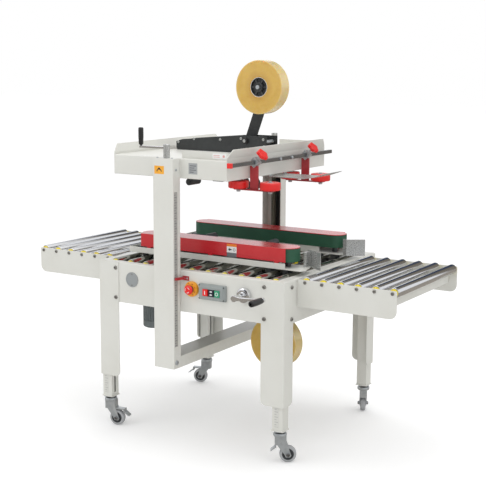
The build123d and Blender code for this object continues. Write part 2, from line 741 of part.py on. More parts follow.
def control_panel():
    """Emergency stop ring with its collar, and the switch box with its fixed middle insert."""
    y = -bed_side
    ring = rod("y", (estop_x, y, estop_z), estop_ring_radius, -estop_ring_depth)
    ring = fillet(ring.edges().filter_by(GeomType.CIRCLE).sort_by(Axis.Y)[0], 5)
    ring += rod("y", (estop_x, y - estop_ring_depth, estop_z), 14.5, -4)
    ring -= rod("y", (estop_x, y + 1, estop_z), 9 + joint_gap, -estop_ring_depth - 8)
    box = block((box_left, box_right), (y - box_depth, y), (box_bottom, box_top))
    box = chamfer(box.faces().sort_by(Axis.Y)[0].edges(), 7)
    middle = (box_bottom + box_top) / 2
    for x in (stop_x, start_x):
        half_width = push_width / 2 + joint_gap
        half_height = push_height / 2 + joint_gap
        box -= block((x - half_width, x + half_width), (y - box_depth - 1, y - 10),
                     (middle - half_height, middle + half_height))
    insert = block((insert_x - push_width / 2, insert_x + push_width / 2), (y - box_depth - 2, y - box_depth),
                   (middle - push_height / 2, middle + push_height / 2))
    return [ring, box, insert]


def estop_button():
    y = -bed_side - estop_ring_depth - 4 - estop_travel - joint_gap
    head = rod("y", (estop_x, y, estop_z), estop_button_radius, -14)
    head = fillet(head.edges().filter_by(GeomType.CIRCLE).sort_by(Axis.Y)[0], 6)
    return head + rod("y", (estop_x, y, estop_z), 9, -y - bed_side - 4)


def push_button(x):
    front = -bed_side - box_depth - push_travel - 1.5
    middle = (box_bottom + box_top) / 2
    button = block((x - push_width / 2, x + push_width / 2), (front, front + 12),
                   (middle - push_height / 2, middle + push_height / 2))
    return fillet(button.faces().sort_by(Axis.Y)[0].edges(), 1.5)


def panel_hardware():
    """Leg bolts, roller screws, inspection disc, cable gland and the red height pointer."""
    bolts = []
    for z in (bed_top - 25, bed_top - panel_depth + 19):
        for x in (leg_face_x - 86, -leg_face_x + 86):
            bolt = rod("y", (x, -leg_face_y, z), 8, -5)
            bolts += [bolt, mirrored_y(bolt)]
        for y in (-bed_side + 51, bed_side - 51):
            bolt = rod("x", (leg_face_x, y, z), 8, 5)
            bolts += [bolt, mirrored_x(bolt)]
    for index in range(end_roller_count):
        bolt = rod("y", (end_roller_x(index), -conveyor_side, roller_z), 7, -4)
        bolts += four_corners([bolt])
    disc = rod("y", (gap_left - 4, -bed_side, carriage_z - 1), 30, -sheet)
    gland_z = carriage_z - 30
    gland = rod("y", (gap_left, bed_side, gland_z), 13, 20)
    gland += rod("y", (gap_left, bed_side + 20, gland_z), 10, 8)
    gland -= rod("y", (gap_left, bed_side + 4, gland_z), 5, 30)
    right = mast_x + column_width / 2
    z = bed_top - 30
    y = -bed_side
    base = block((right + 10, right + 40), (y - sheet, y), (z - 9, z + 8))
    tip = plate([(right + 4, y - column_depth), (right + 10, y - column_depth), (right + 24, y - sheet),
                 (right + 10, y - sheet)], z - 5, z + 5)
    return bolts + [disc, gland, base + tip]


def width_crank():
    """Boss, shaft and left and right handed screw across the bed, crank arm and grip."""
    y = -bed_side
    boss = rod("y", (gap_screw, y - joint_gap, carriage_z), width_boss_radius, -19)
    boss = fillet(boss.edges().filter_by(GeomType.CIRCLE).sort_by(Axis.Y)[0], 4)
    boss += rod("y", (gap_screw, y - 19, carriage_z), 14, -12)
    boss += rod("y", (gap_screw, y - 72, carriage_z), width_shaft_radius, bed_width + 66)
    reach = width_crank_length
    arm = plate([(-12, -12), (-12, 12), (reach, 9), (reach, -9)], 72, 82, "y")
    arm = Pos(gap_screw, y - 154, carriage_z) * Rot(0, -4, 0) * arm
    grip = Rot(0, -4, 0) * rod("y", (reach - 10, 0, 0), grip_radius, -grip_length)
    grip = Pos(gap_screw, y - 82, carriage_z) * fillet(grip.edges().filter_by(GeomType.CIRCLE), 4)
    return [boss, arm, grip]


def build():
    os.makedirs("parts", exist_ok=True)
    side = side_panel()
    end = end_panel()
    far_side = [mirrored_y(piece) for piece in side]
    write("bed_panels", side + end + far_side + [mirrored_x(piece) for piece in end])
    write("outer_legs", four_corners(outer_leg()))
    cross = conveyor_cross()
    far_cross = [mirrored_x(piece) for piece in cross]
    write("conveyor_frames", four_corners([conveyor_plate()]) + cross + far_cross)
    write("panel_hardware", panel_hardware())
    write("control_panel", control_panel())
    write("bed_rollers", bed_rollers())
    write("bed_guides", bed_guides())
    for index in range(end_roller_count):
        x = end_roller_x(index)
        write(f"infeed_roller_{index + 1}", [conveyor_roller(x)])
        write(f"outfeed_roller_{index + 1}", [conveyor_roller(-x)])

    write("inner_legs", four_corners([inner_leg()]))
    casters = {
        "infeed_near": (1, -1, 32, -1),
        "outfeed_near": (-1, -1, 12, 1),
        "infeed_far": (1, 1, 118, 1),
        "outfeed_far": (-1, 1, 200, 1),
    }
    for name, (x_side, y_side, angle, pedal_side) in casters.items():
        fork, wheel = caster(x_side * inner_leg_x, y_side * inner_leg_y, angle, pedal_side)
        write(f"caster_fork_{name}", [fork])
        write(f"caster_wheel_{name}", [wheel])

    write("estop_button", [estop_button()])
    write("stop_button", [push_button(stop_x)])
    write("start_button", [push_button(start_x)])
    write("width_crank", width_crank())

    pieces = [column(), slide_strip()]
    write("mast_columns", pieces + [mirrored_y(piece) for piece in pieces] + [beam()])
    arm = top_arm()
    write("top_frame", arm + [mirrored_y(piece) for piece in arm] + top_deck())
    write("mast_crank", mast_crank())
    write("far_lead_screw", [mirrored_y(lead_screw())])

    for name, makers in {"belt_base": belt_base, "belt_cover": belt_cover, "side_belt": side_belt,
                         "drive_drum": drive_drum}.items():
        made = makers()
        pieces = made if isinstance(made, list) else [made]
        write(f"{name}_near", pieces)
        write(f"{name}_far", [mirrored_y(piece) for piece in pieces])

    write("top_tape_head", head_frame(upper_place, top_roll_ahead, top_roll_height))
    mounts = [rod("y", (bottom_head_x + x, -rail_y, roller_z - 12), 8, rail_y - head_half_width)
              for x in (-150, 190)]
    mounts += [mirrored_y(piece) for piece in mounts]
    write("lower_tape_head", head_frame(lower_place, bottom_roll_ahead, bottom_roll_depth) + mounts)
    for name, side in (("front", 1), ("rear", -1)):
        write(f"top_{name}_arm", [upper_place(piece) for piece in head_arm(side)])
        write(f"lower_{name}_arm", [lower_place(piece) for piece in head_arm(side)])
    write("top_tape_roll", tape_roll(top_roll_x, top_roll_z))
    write("bottom_tape_roll", tape_roll(bottom_roll_x, bottom_roll_z))

    write("press_bar", press_bar())
    write("press_arm_near", press_arm(press_near_y))
    write("press_arm_far", press_arm(press_far_y))
    for name, y in (("near", press_near_y), ("far", press_far_y)):
        write(f"press_wheel_{name}_front", [press_wheel(y, 1)])
        write(f"press_wheel_{name}_rear", [press_wheel(y, -1)])
    write("flap_guide", flap_guide())


build()
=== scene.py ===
# Carton sealer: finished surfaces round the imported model. Metres, +Z up, infeed at +X, operator at -Y.
import json
import math

import bmesh
import bpy
import numpy as np
from mathutils import Matrix, Vector


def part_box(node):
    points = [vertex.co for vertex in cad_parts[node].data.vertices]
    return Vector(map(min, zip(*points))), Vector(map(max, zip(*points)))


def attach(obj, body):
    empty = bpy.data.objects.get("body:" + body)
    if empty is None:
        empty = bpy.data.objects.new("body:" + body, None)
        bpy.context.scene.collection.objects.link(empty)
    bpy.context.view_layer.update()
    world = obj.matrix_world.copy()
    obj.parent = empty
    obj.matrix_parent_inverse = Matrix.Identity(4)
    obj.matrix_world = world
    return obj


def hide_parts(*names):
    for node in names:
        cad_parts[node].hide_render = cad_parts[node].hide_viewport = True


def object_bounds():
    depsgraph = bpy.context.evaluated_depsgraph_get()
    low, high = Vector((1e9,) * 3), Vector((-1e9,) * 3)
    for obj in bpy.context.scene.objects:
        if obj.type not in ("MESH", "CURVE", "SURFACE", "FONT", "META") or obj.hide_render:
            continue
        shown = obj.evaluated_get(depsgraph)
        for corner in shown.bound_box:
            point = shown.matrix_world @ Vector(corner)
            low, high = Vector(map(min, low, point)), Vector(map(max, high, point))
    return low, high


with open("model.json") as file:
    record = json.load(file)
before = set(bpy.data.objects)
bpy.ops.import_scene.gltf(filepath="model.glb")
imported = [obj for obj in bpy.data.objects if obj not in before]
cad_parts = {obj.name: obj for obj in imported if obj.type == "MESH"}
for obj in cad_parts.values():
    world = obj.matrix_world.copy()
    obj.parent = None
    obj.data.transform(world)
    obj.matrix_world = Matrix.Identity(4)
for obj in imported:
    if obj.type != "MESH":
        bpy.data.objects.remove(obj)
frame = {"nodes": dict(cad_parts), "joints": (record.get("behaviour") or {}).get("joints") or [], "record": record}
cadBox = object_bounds()
jointOf = {joint["child"]: joint for joint in frame["joints"]}
bodyOf = {node: body for body, nodes in frame["record"]["behaviour"]["bodies"].items() for node in nodes}
print("frame loaded:", len(frame["nodes"]), "nodes")


def newGroup(name, inputs, outputs):
    group = bpy.data.node_groups.new(name, "ShaderNodeTree")
    for label, kind, value in inputs:
        socket = group.interface.new_socket(name=label, in_out="INPUT", socket_type=kind)
        if value is not None:
            socket.default_value = value
    for label, kind in outputs:
        group.interface.new_socket(name=label, in_out="OUTPUT", socket_type=kind)
    return group, group.nodes.new("NodeGroupInput"), group.nodes.new("NodeGroupOutput")


def mathNode(tree, operation, first, second=None, clamp=False):
    node = tree.nodes.new("ShaderNodeMath")
    node.operation = operation
    node.use_clamp = clamp
    for slot, value in enumerate((first, second)):
        if value is None:
            continue
        if isinstance(value, (int, float)):
            node.inputs[slot].default_value = value
        else:
            tree.links.new(value, node.inputs[slot])
    return node.outputs[0]


def mixColour(tree, factor, first, second):
    node = tree.nodes.new("ShaderNodeMix")
    node.data_type = "RGBA"
    for socket, value in ((node.inputs[0], factor), (node.inputs[6], first), (node.inputs[7], second)):
        if isinstance(value, (int, float, tuple)):
            socket.default_value = value
        else:
            tree.links.new(value, socket)
    return node.outputs[2]


def noiseNode(tree, vector, scale, detail=3.0):
    node = tree.nodes.new("ShaderNodeTexNoise")
    node.inputs["Detail"].default_value = detail
    if vector is not None:
        tree.links.new(vector, node.inputs["Vector"])
    if isinstance(scale, (int, float)):
        node.inputs["Scale"].default_value = scale
    else:
        tree.links.new(scale, node.inputs["Scale"])
    return node.outputs["Fac"]


def principledOf(material):
    return next(node for node in material.node_tree.nodes if node.type == "BSDF_PRINCIPLED")


def rampNode(tree, value, start, slope):
    # how far a value is past its start, times a slope, held between 0 and 1
    return mathNode(tree, "MULTIPLY", mathNode(tree, "SUBTRACT", value, start), slope, True)


def attributeNode(tree, name):
    node = tree.nodes.new("ShaderNodeAttribute")
    node.attribute_name = name
    return node.outputs["Fac"]


def setSockets(node, values):
    for name, value in values.items():
        node.inputs[name].default_value = value


def groupNode(tree, group, values):
    node = tree.nodes.new("ShaderNodeGroup")
    node.node_tree = group
    setSockets(node, values)
    return node


tintDustAndHighlightLook = {"mottleStart": 0.42, "mottleSlope": 3.0, "edgeStart": 0.53, "edgeSlope": 9.0,
                "edgePatches": 60.0, "dustStart": 0.75, "dustSlope": 4.0, "dustPatches": 35.0,
                "dustColour": (0.62, 0.6, 0.56, 1)}


def makeTintDustAndHighlight():
    # the colour turns to its shade by a slow noise, to a lighter edge colour where the surface is convex and
    #     # another noise is high, a painted edge highlight, and to dust where the normal points up
    inputs = [("Colour", "NodeSocketColor", None), ("Shade", "NodeSocketColor", None),
              ("Edge", "NodeSocketColor", None), ("Mottle", "NodeSocketFloat", 6.0),
              ("Edge Amount", "NodeSocketFloat", 0.5), ("Dust", "NodeSocketFloat", 0.1)]
    outputs = [("Colour", "NodeSocketColor"), ("Dust Mask", "NodeSocketFloat")]
    group, source, result = newGroup("tintDustAndHighlight", inputs, outputs)
    given, look = source.outputs, tintDustAndHighlightLook
    place = group.nodes.new("ShaderNodeTexCoord").outputs["Object"]
    geometry = group.nodes.new("ShaderNodeNewGeometry")
    slow = rampNode(group, noiseNode(group, place, given["Mottle"]), look["mottleStart"], look["mottleSlope"])
    base = mixColour(group, slow, given["Colour"], given["Shade"])
    convex = rampNode(group, geometry.outputs["Pointiness"], look["edgeStart"], look["edgeSlope"])
    patchy = mathNode(group, "MULTIPLY", convex, noiseNode(group, place, look["edgePatches"]))
    edgeHighlight = mathNode(group, "MULTIPLY", patchy, given["Edge Amount"], True)
    highlighted = mixColour(group, edgeHighlight, base, given["Edge"])
    split = group.nodes.new("ShaderNodeSeparateXYZ")
    group.links.new(geometry.outputs["Normal"], split.inputs[0])
    upward = rampNode(group, split.outputs["Z"], look["dustStart"], look["dustSlope"])
    speck = mathNode(group, "MULTIPLY", noiseNode(group, place, look["dustPatches"], 6.0), given["Dust"])
    dust = mathNode(group, "MULTIPLY", upward, speck, True)
    group.links.new(mixColour(group, dust, highlighted, look["dustColour"]), result.inputs[0])
    group.links.new(dust, result.inputs[1])
    return group


grainLook = {"detail": 4.0, "broadScale": 9.0, "broadDetail": 5.0, "dustRoughness": 0.4}


def makeGrain():
    # fine noise, stretched along an axis, that spreads the roughness and gives a height
    inputs = [("Scale", "NodeSocketFloat", 400.0), ("Stretch", "NodeSocketVector", (1, 1, 1)),
              ("Smooth", "NodeSocketFloat", 0.3), ("Rough", "NodeSocketFloat", 0.4),
              ("Dust Mask", "NodeSocketFloat", 0.0)]
    group, source, result = newGroup("grain", inputs, [("Roughness", "NodeSocketFloat"),
                                                       ("Height", "NodeSocketFloat")])
    place = group.nodes.new("ShaderNodeTexCoord").outputs["Object"]
    stretch = group.nodes.new("ShaderNodeVectorMath")
    stretch.operation = "MULTIPLY"
    group.links.new(place, stretch.inputs[0])
    group.links.new(source.outputs["Stretch"], stretch.inputs[1])
    fine = noiseNode(group, stretch.outputs[0], source.outputs["Scale"], grainLook["detail"])
    broad = noiseNode(group, place, grainLook["broadScale"], grainLook["broadDetail"])
    both = mathNode(group, "MULTIPLY", mathNode(group, "ADD", fine, broad), 0.5)
    span = mathNode(group, "SUBTRACT", source.outputs["Rough"], source.outputs["Smooth"])
    value = mathNode(group, "ADD", source.outputs["Smooth"], mathNode(group, "MULTIPLY", both, span))
    dust = mathNode(group, "MULTIPLY", source.outputs["Dust Mask"], grainLook["dustRoughness"])
    value = mathNode(group, "ADD", value, dust, True)
    group.links.new(value, result.inputs[0])
    group.links.new(fine, result.inputs[1])
    return group


tintDustAndHighlightGroup = makeTintDustAndHighlight()
grainGroup = makeGrain()


# what a finish has where it says nothing else; shade and edge are then its own colour
plainLook = {"mottle": 6.0, "edgeHighlight": 0.5, "dust": 0.1, "grain": 500.0, "stretch": (1, 1, 1), "bump": 0.1,
             "depth": 0.0002, "metallic": 0.0, "coat": 0.0, "coatRoughness": 0.15, "glow": 0.0,
             "glowColour": (0.9, 0.5, 0.15), "glowDepth": 0.01}


def makeFinish(name, settings):
    # one shader: the tint, dust and painted edge highlight group gives its colour, the grain group its roughness
    # and its bump
    look = {**plainLook, "shade": settings["colour"], "edge": settings["colour"], **settings}
    material = bpy.data.materials.new(name)
    material.use_nodes = True
    tree = material.node_tree
    shader = principledOf(material)
    tintDustAndHighlight = groupNode(tree, tintDustAndHighlightGroup, {
        "Colour": (*look["colour"], 1), "Shade": (*look["shade"], 1), "Edge": (*look["edge"], 1),
        "Mottle": look["mottle"], "Edge Amount": look["edgeHighlight"], "Dust": look["dust"]})
    grain = groupNode(tree, grainGroup, {
        "Scale": look["grain"], "Stretch": look["stretch"],
        "Smooth": look["roughness"][0], "Rough": look["roughness"][1]})
    bump = tree.nodes.new("ShaderNodeBump")
    setSockets(bump, {"Strength": look["bump"], "Distance": look["depth"]})
    setSockets(shader, {
        "Metallic": look["metallic"], "Coat Weight": look["coat"], "Coat Roughness": look["coatRoughness"],
        "Subsurface Weight": look["glow"], "Subsurface Radius": look["glowColour"],
        "Subsurface Scale": look["glowDepth"]})
    tree.links.new(tintDustAndHighlight.outputs["Colour"], shader.inputs["Base Color"])
    tree.links.new(tintDustAndHighlight.outputs["Dust Mask"], grain.inputs["Dust Mask"])
    tree.links.new(grain.outputs["Roughness"], shader.inputs["Roughness"])
    tree.links.new(grain.outputs["Height"], bump.inputs["Height"])
    tree.links.new(bump.outputs["Normal"], shader.inputs["Normal"])
    return material


# colours are linear; edge is the lighter colour of the painted edge highlight; roughness runs from the smooth to
# the rough parts of the grain
looks = {
    "cream": {"slot": "cream_paint", "colour": (0.70, 0.70, 0.655), "shade": (0.665, 0.662, 0.612),
        "edge": (0.84, 0.835, 0.80), "roughness": (0.28, 0.42), "grain": 700.0, "bump": 0.12, "coat": 0.25},
    "red": {"slot": "red_paint", "colour": (0.62, 0.018, 0.030), "shade": (0.56, 0.014, 0.024),
        "edge": (0.75, 0.12, 0.1), "roughness": (0.2, 0.32), "grain": 700.0, "bump": 0.1, "coat": 0.5},
    "darkRed": {"slot": "dark_red_paint", "colour": (0.40, 0.016, 0.026), "shade": (0.33, 0.012, 0.02),
        "edge": (0.62, 0.1, 0.1), "roughness": (0.25, 0.38), "grain": 600.0, "bump": 0.1, "coat": 0.35},
    "redPlastic": {"slot": "red_plastic", "colour": (0.80, 0.016, 0.014), "shade": (0.72, 0.012, 0.012),
        "edge": (0.9, 0.12, 0.09), "roughness": (0.24, 0.36), "grain": 900.0, "bump": 0.08, "coat": 0.3,
        "glow": 0.05, "glowColour": (0.9, 0.1, 0.05)},
    "chrome": {"slot": "chromed_roller", "colour": (0.74, 0.745, 0.76), "shade": (0.68, 0.685, 0.70),
        "metallic": 1.0, "roughness": (0.07, 0.17), "grain": 900.0, "stretch": (6, 0.3, 6), "bump": 0.02,
        "dust": 0.04},
    # a darker copy of the chrome for the bed rollers: painted shade for the dark surroundings under the trays
    "shadedBedChrome": {"slot": "chromed_roller", "colour": (0.40, 0.40, 0.37), "shade": (0.32, 0.32, 0.29),
        "metallic": 1.0, "roughness": (0.10, 0.22), "grain": 900.0, "stretch": (6, 0.3, 6), "bump": 0.02,
        "dust": 0.04},
    "zinc": {"slot": "zinc", "colour": (0.50, 0.53, 0.55), "shade": (0.40, 0.43, 0.45),
        "edge": (0.8, 0.8, 0.8), "metallic": 0.55, "roughness": (0.22, 0.42), "mottle": 70.0,
        "grain": 600.0, "bump": 0.06},
    "bolt": {"slot": "zinc", "colour": (0.30, 0.29, 0.27), "shade": (0.22, 0.21, 0.195),
        "edge": (0.6, 0.6, 0.58), "metallic": 0.6, "roughness": (0.28, 0.45), "grain": 600.0, "bump": 0.06},
    "bar": {"slot": "stainless", "colour": (0.26, 0.26, 0.27), "shade": (0.20, 0.20, 0.21),
        "edge": (0.6, 0.6, 0.6), "metallic": 1.0, "roughness": (0.12, 0.26), "grain": 600.0,
        "stretch": (1, 0.1, 1), "bump": 0.04},
    "thread": {"slot": "zinc", "colour": (0.17, 0.17, 0.135), "shade": (0.12, 0.12, 0.10),
        "edge": (0.3, 0.3, 0.27), "metallic": 0.6, "roughness": (0.3, 0.5), "grain": 500.0, "bump": 0.05},
    "stainless": {"slot": "stainless", "colour": (0.50, 0.51, 0.50), "shade": (0.43, 0.44, 0.43),
        "edge": (0.8, 0.8, 0.8), "metallic": 0.6, "roughness": (0.18, 0.36), "grain": 500.0,
        "stretch": (0.06, 1, 1), "bump": 0.06},
    "black": {"slot": "dark_steel", "colour": (0.017, 0.021, 0.022), "shade": (0.012, 0.014, 0.015),
        "edge": (0.14, 0.14, 0.14), "roughness": (0.3, 0.46), "grain": 700.0, "bump": 0.15, "coat": 0.15},
    "grip": {"slot": "dark_steel", "colour": (0.014, 0.014, 0.015), "shade": (0.02, 0.02, 0.021),
        "edge": (0.06, 0.06, 0.06), "roughness": (0.34, 0.5), "grain": 1200.0, "bump": 0.25},
    "darkSteel": {"slot": "dark_steel", "colour": (0.10, 0.105, 0.11), "shade": (0.07, 0.075, 0.08),
        "edge": (0.3, 0.3, 0.3), "metallic": 0.8, "roughness": (0.3, 0.5), "grain": 500.0, "bump": 0.12},
    "motor": {"slot": "dark_steel", "colour": (0.20, 0.23, 0.24), "shade": (0.16, 0.185, 0.195),
        "edge": (0.32, 0.34, 0.34), "roughness": (0.32, 0.48), "grain": 500.0, "bump": 0.2, "coat": 0.1},
    "box": {"slot": "zinc", "colour": (0.30, 0.33, 0.325), "shade": (0.27, 0.30, 0.295),
        "edge": (0.46, 0.48, 0.47), "roughness": (0.34, 0.46), "grain": 1500.0, "bump": 0.3, "coat": 0.05},
    "disc": {"slot": "zinc", "colour": (0.33, 0.35, 0.355), "shade": (0.29, 0.31, 0.315),
        "edge": (0.5, 0.5, 0.5), "roughness": (0.36, 0.5), "grain": 900.0, "bump": 0.15},
    "green": {"slot": "green_belt", "colour": (0.021, 0.104, 0.056), "shade": (0.017, 0.088, 0.047),
        "edge": (0.05, 0.16, 0.1), "roughness": (0.5, 0.68), "grain": 900.0, "stretch": (1, 1, 3),
        "bump": 0.5, "mottle": 14.0},
    "greenPlastic": {"slot": "green_plastic", "colour": (0.03, 0.32, 0.17), "shade": (0.025, 0.27, 0.14),
        "edge": (0.2, 0.5, 0.35), "roughness": (0.26, 0.36), "grain": 900.0, "coat": 0.2},
    "yellow": {"slot": "yellow_plastic", "colour": (0.92, 0.74, 0.02), "shade": (0.86, 0.66, 0.015),
        "roughness": (0.3, 0.42), "grain": 900.0, "glow": 0.05},
    "amber": {"slot": "yellow_plastic", "colour": (0.86, 0.36, 0.012), "shade": (0.8, 0.31, 0.01),
        "edge": (0.95, 0.55, 0.1), "roughness": (0.28, 0.38), "grain": 900.0, "coat": 0.2},
    "tyre": {"slot": "caster_tyre", "colour": (0.40, 0.41, 0.42), "shade": (0.34, 0.35, 0.36),
        "edge": (0.5, 0.5, 0.5), "roughness": (0.5, 0.7), "grain": 500.0, "bump": 0.3, "mottle": 40.0},
    "hub": {"slot": "dark_steel", "colour": (0.05, 0.055, 0.06), "shade": (0.04, 0.045, 0.05),
        "edge": (0.12, 0.12, 0.12), "roughness": (0.35, 0.5), "grain": 700.0, "bump": 0.15},
    "white": {"slot": "cream_paint", "colour": (0.85, 0.85, 0.84), "shade": (0.8, 0.8, 0.79),
        "roughness": (0.35, 0.45), "grain": 900.0},
    "ink": {"slot": "dark_steel", "colour": (0.02, 0.022, 0.04), "roughness": (0.4, 0.5), "grain": 900.0},
    "orange": {"slot": "yellow_plastic", "colour": (0.85, 0.22, 0.02), "roughness": (0.35, 0.45),
        "grain": 900.0},
    "greyInk": {"slot": "zinc", "colour": (0.16, 0.165, 0.18), "roughness": (0.4, 0.5), "grain": 900.0},
    "pinkInk": {"slot": "red_plastic", "colour": (0.72, 0.36, 0.33), "roughness": (0.4, 0.5),
        "grain": 900.0},
}
finishes = {name: makeFinish(name, look) for name, look in looks.items()}


film = {"colour": (0.66, 0.42, 0.075), "shade": (0.60, 0.36, 0.055), "edge": (0.9, 0.7, 0.3),
        "roughness": (0.16, 0.3), "grain": 60.0, "bump": 0.04, "coat": 0.4, "glow": 0.45,
        "glowColour": (1.0, 0.6, 0.2), "mottle": 30.0, "dust": 0.0}
filmRings = {"perRadius": 20, "waves": 150.0, "waveShare": 0.14, "patches": 14.0, "patchShare": 0.5,
             "ringColour": (0.70, 0.50, 0.17, 1), "innerEnd": 1.35, "innerSlope": 1.1,
             "innerColour": (0.50, 0.27, 0.05, 1), "rimStart": 2.02, "rimSlope": 9.0,
             "rimColour": (0.70, 0.55, 0.26, 1)}


def makeTape():
    # wound film: a sine of the radius draws faint rings; the film darkens to the core and pales at the rim
    material = makeFinish("tapeFilm", film)
    tree = material.node_tree
    base = principledOf(material).inputs["Base Color"]
    windings = attributeNode(tree, "windings")
    wave = mathNode(tree, "SINE", mathNode(tree, "MULTIPLY", windings, filmRings["waves"]))
    uneven = mathNode(tree, "MULTIPLY", noiseNode(tree, None, filmRings["patches"]), filmRings["patchShare"])
    rings = mathNode(tree, "ADD", mathNode(tree, "MULTIPLY", wave, filmRings["waveShare"]), uneven, True)
    tinted = mixColour(tree, rings, base.links[0].from_socket, filmRings["ringColour"])
    inner = rampNode(tree, windings, filmRings["innerEnd"], -filmRings["innerSlope"])
    tinted = mixColour(tree, inner, tinted, filmRings["innerColour"])
    rim = rampNode(tree, windings, filmRings["rimStart"], filmRings["rimSlope"])
    tree.links.new(mixColour(tree, rim, tinted, filmRings["rimColour"]), base)
    return material


ruler = {"step": 0.005, "line": 0.0016, "shortReach": 0.45, "longReach": 0.8,
         "inkColour": (0.08, 0.08, 0.09, 1)}


def makeRuler(name, colour, ink):
    # a triangle wave of the height is low at every tick: a short one each 10 mm, a long one each 20 mm
    material = makeFinish(name, {"colour": colour, "roughness": (0.35, 0.45), "grain": 900.0, "dust": 0.0})
    tree = material.node_tree
    base = principledOf(material).inputs["Base Color"]
    height, across = attributeNode(tree, "rulerHeight"), attributeNode(tree, "rulerAcross")
    ticks = []
    for step, reach in ((ruler["step"], ruler["shortReach"]), (2 * ruler["step"], ruler["longReach"])):
        line = mathNode(tree, "LESS_THAN", mathNode(tree, "PINGPONG", height, step), ruler["line"])
        ticks.append(mathNode(tree, "MULTIPLY", line, mathNode(tree, "LESS_THAN", across, reach)))
    inked = mathNode(tree, "MULTIPLY", mathNode(tree, "MAXIMUM", *ticks), ink)
    tree.links.new(mixColour(tree, inked, base.links[0].from_socket, ruler["inkColour"]), base)
    return material


finishes["tape"] = makeTape()
finishes["ruler"] = makeRuler("rulerStrip", (0.40, 0.40, 0.38), 0.6)
finishes["legRuler"] = makeRuler("legRulerStrip", (0.64, 0.64, 0.60), 0.28)
looks["tape"] = {"slot": "tape_amber"}
looks["ruler"] = looks["legRuler"] = {"slot": "cream_paint"}
print("finishes made:", len(finishes))


# a shape is a pair: an array of vertices and a list of faces

def join(*shapes):
    vertices, faces, offset = [], [], 0
    for points, polygons in shapes:
        vertices.append(points)
        faces += [[corner + offset for corner in polygon] for polygon in polygons]
        offset += len(points)
    return np.concatenate(vertices), faces


def mirrorY(shape, centre):
    points = shape[0].copy()
    points[:, 1] = 2 * centre - points[:, 1]
    return points, shape[1]


def mirrorX(shape):
    return shape[0] * (-1, 1, 1), shape[1]


def basis(axis):
    along = np.array(Vector(axis).normalized())
    helper = np.array((0, 0, 1.0)) if abs(along[2]) < 0.9 else np.array((1.0, 0, 0))
    first = np.cross(helper, along)
    first /= np.linalg.norm(first)
    return along, first, np.cross(along, first)


def ringFaces(rings, segments, closed=False):
    # quads between one ring and the next
    row = np.arange(rings if closed else rings - 1)[:, None]
    col = np.arange(segments)[None, :]
    after = (row + 1) % rings
    turn = (col + 1) % segments
    quads = np.stack([row * segments + col, row * segments + turn, after * segments + turn,
                      after * segments + col], -1)
    return quads.reshape(-1, 4).tolist()


def lathe(profile, origin, axis, segments=40, lobes=0, lobeDepth=0.0, closed=False):
    # each profile pair (distance along the axis, radius) is turned round it, and the radius may swell by
    # a cosine of the angle into lobes; unless the profile is closed, its two ends are capped
    profile = np.array(profile, float)
    along, first, second = basis(axis)
    angle = np.arange(segments) * 2 * math.pi / segments
    swell = 1 + lobeDepth * np.cos(lobes * angle)
    radius = profile[:, 1][:, None] * swell[None, :]
    points = (np.array(origin)[None, None] + profile[:, 0][:, None, None] * along
              + (radius * np.cos(angle))[..., None] * first + (radius * np.sin(angle))[..., None] * second)
    faces = ringFaces(len(profile), segments, closed)
    if not closed:
        faces.append(list(range(segments))[::-1])
        faces.append([(len(profile) - 1) * segments + index for index in range(segments)])
    return points.reshape(-1, 3), faces


def fromOtherEnd(profile, length):
    # the same profile measured from the far end, in reverse order
    profile = np.array(profile, float)[::-1]
    return np.stack([length - profile[:, 0], profile[:, 1]], -1)


def rimRound(edge, radius, steps=6):
    # a quarter circle from a flat end out to a radius, as pairs of distance and radius
    turn = np.linspace(0, math.pi / 2, steps)[::-1]
    return np.stack([edge * (1 - np.sin(turn)), radius - edge * (1 - np.cos(turn))], -1)


def roundedRod(origin, axis, radius, length, edge=0.001, segments=32):
    # a straight bar whose two rims are quarter rounds
    near = rimRound(edge, radius, 4)
    return lathe(np.concatenate([near, fromOtherEnd(near, length)]), origin, axis, segments)


def intoSpace(axis, along, across):
    order = {"x": (0, 1, 2), "y": (1, 0, 2), "z": (2, 0, 1)}[axis]
    points = np.empty((len(along), 3))
    points[:, order[0]] = along
    points[:, order[1]] = across[:, 0]
    points[:, order[2]] = across[:, 1]
    return points


def prism(outline, axis, low, high):
    # a flat outline carried straight along one axis between two limits, with both ends capped
    outline = np.array(outline, float)
    count = len(outline)
    points = np.concatenate([intoSpace(axis, np.full(count, low), outline),
                             intoSpace(axis, np.full(count, high), outline)])
    return points, ringFaces(2, count) + [list(range(count))[::-1], list(range(count, 2 * count))]


def box(low, high):
    low, high = np.minimum(low, high), np.maximum(low, high)
    outline = [(low[0], low[1]), (high[0], low[1]), (high[0], high[1]), (low[0], high[1])]
    return prism(outline, "z", low[2], high[2])


def roundedPath(points, radius, steps=5):
    # a broken line whose corners are arcs tangent to both runs; gives its points and the normals to its left
    points = np.array(points, float)
    runs = np.diff(points, axis=0)
    runs /= np.linalg.norm(runs, axis=1)[:, None]
    places, normals = [points[0]], [(-runs[0][1], runs[0][0])]
    for index in range(1, len(points) - 1):
        before, after = runs[index - 1], runs[index]
        turn = math.atan2(before[0] * after[1] - before[1] * after[0], before @ after)
        side = math.copysign(1.0, turn)
        start = points[index] - before * radius * math.tan(abs(turn) / 2)
        heading = math.atan2(before[1], before[0]) + turn * np.linspace(0, 1, steps + 1)
        left = np.stack([-np.sin(heading), np.cos(heading)], -1)
        centre = start + side * radius * left[0]
        places += list(centre - side * radius * left)
        normals += list(left)
    places.append(points[-1])
    normals.append((-runs[-1][1], runs[-1][0]))
    return np.array(places), np.array(normals)


def cornerCut(distance, radius):
    # how far a quarter-round corner draws back, at a distance from the free edge
    inside = np.clip(radius - distance, 0, radius)
    return radius - np.sqrt(np.maximum(radius ** 2 - inside ** 2, 0))


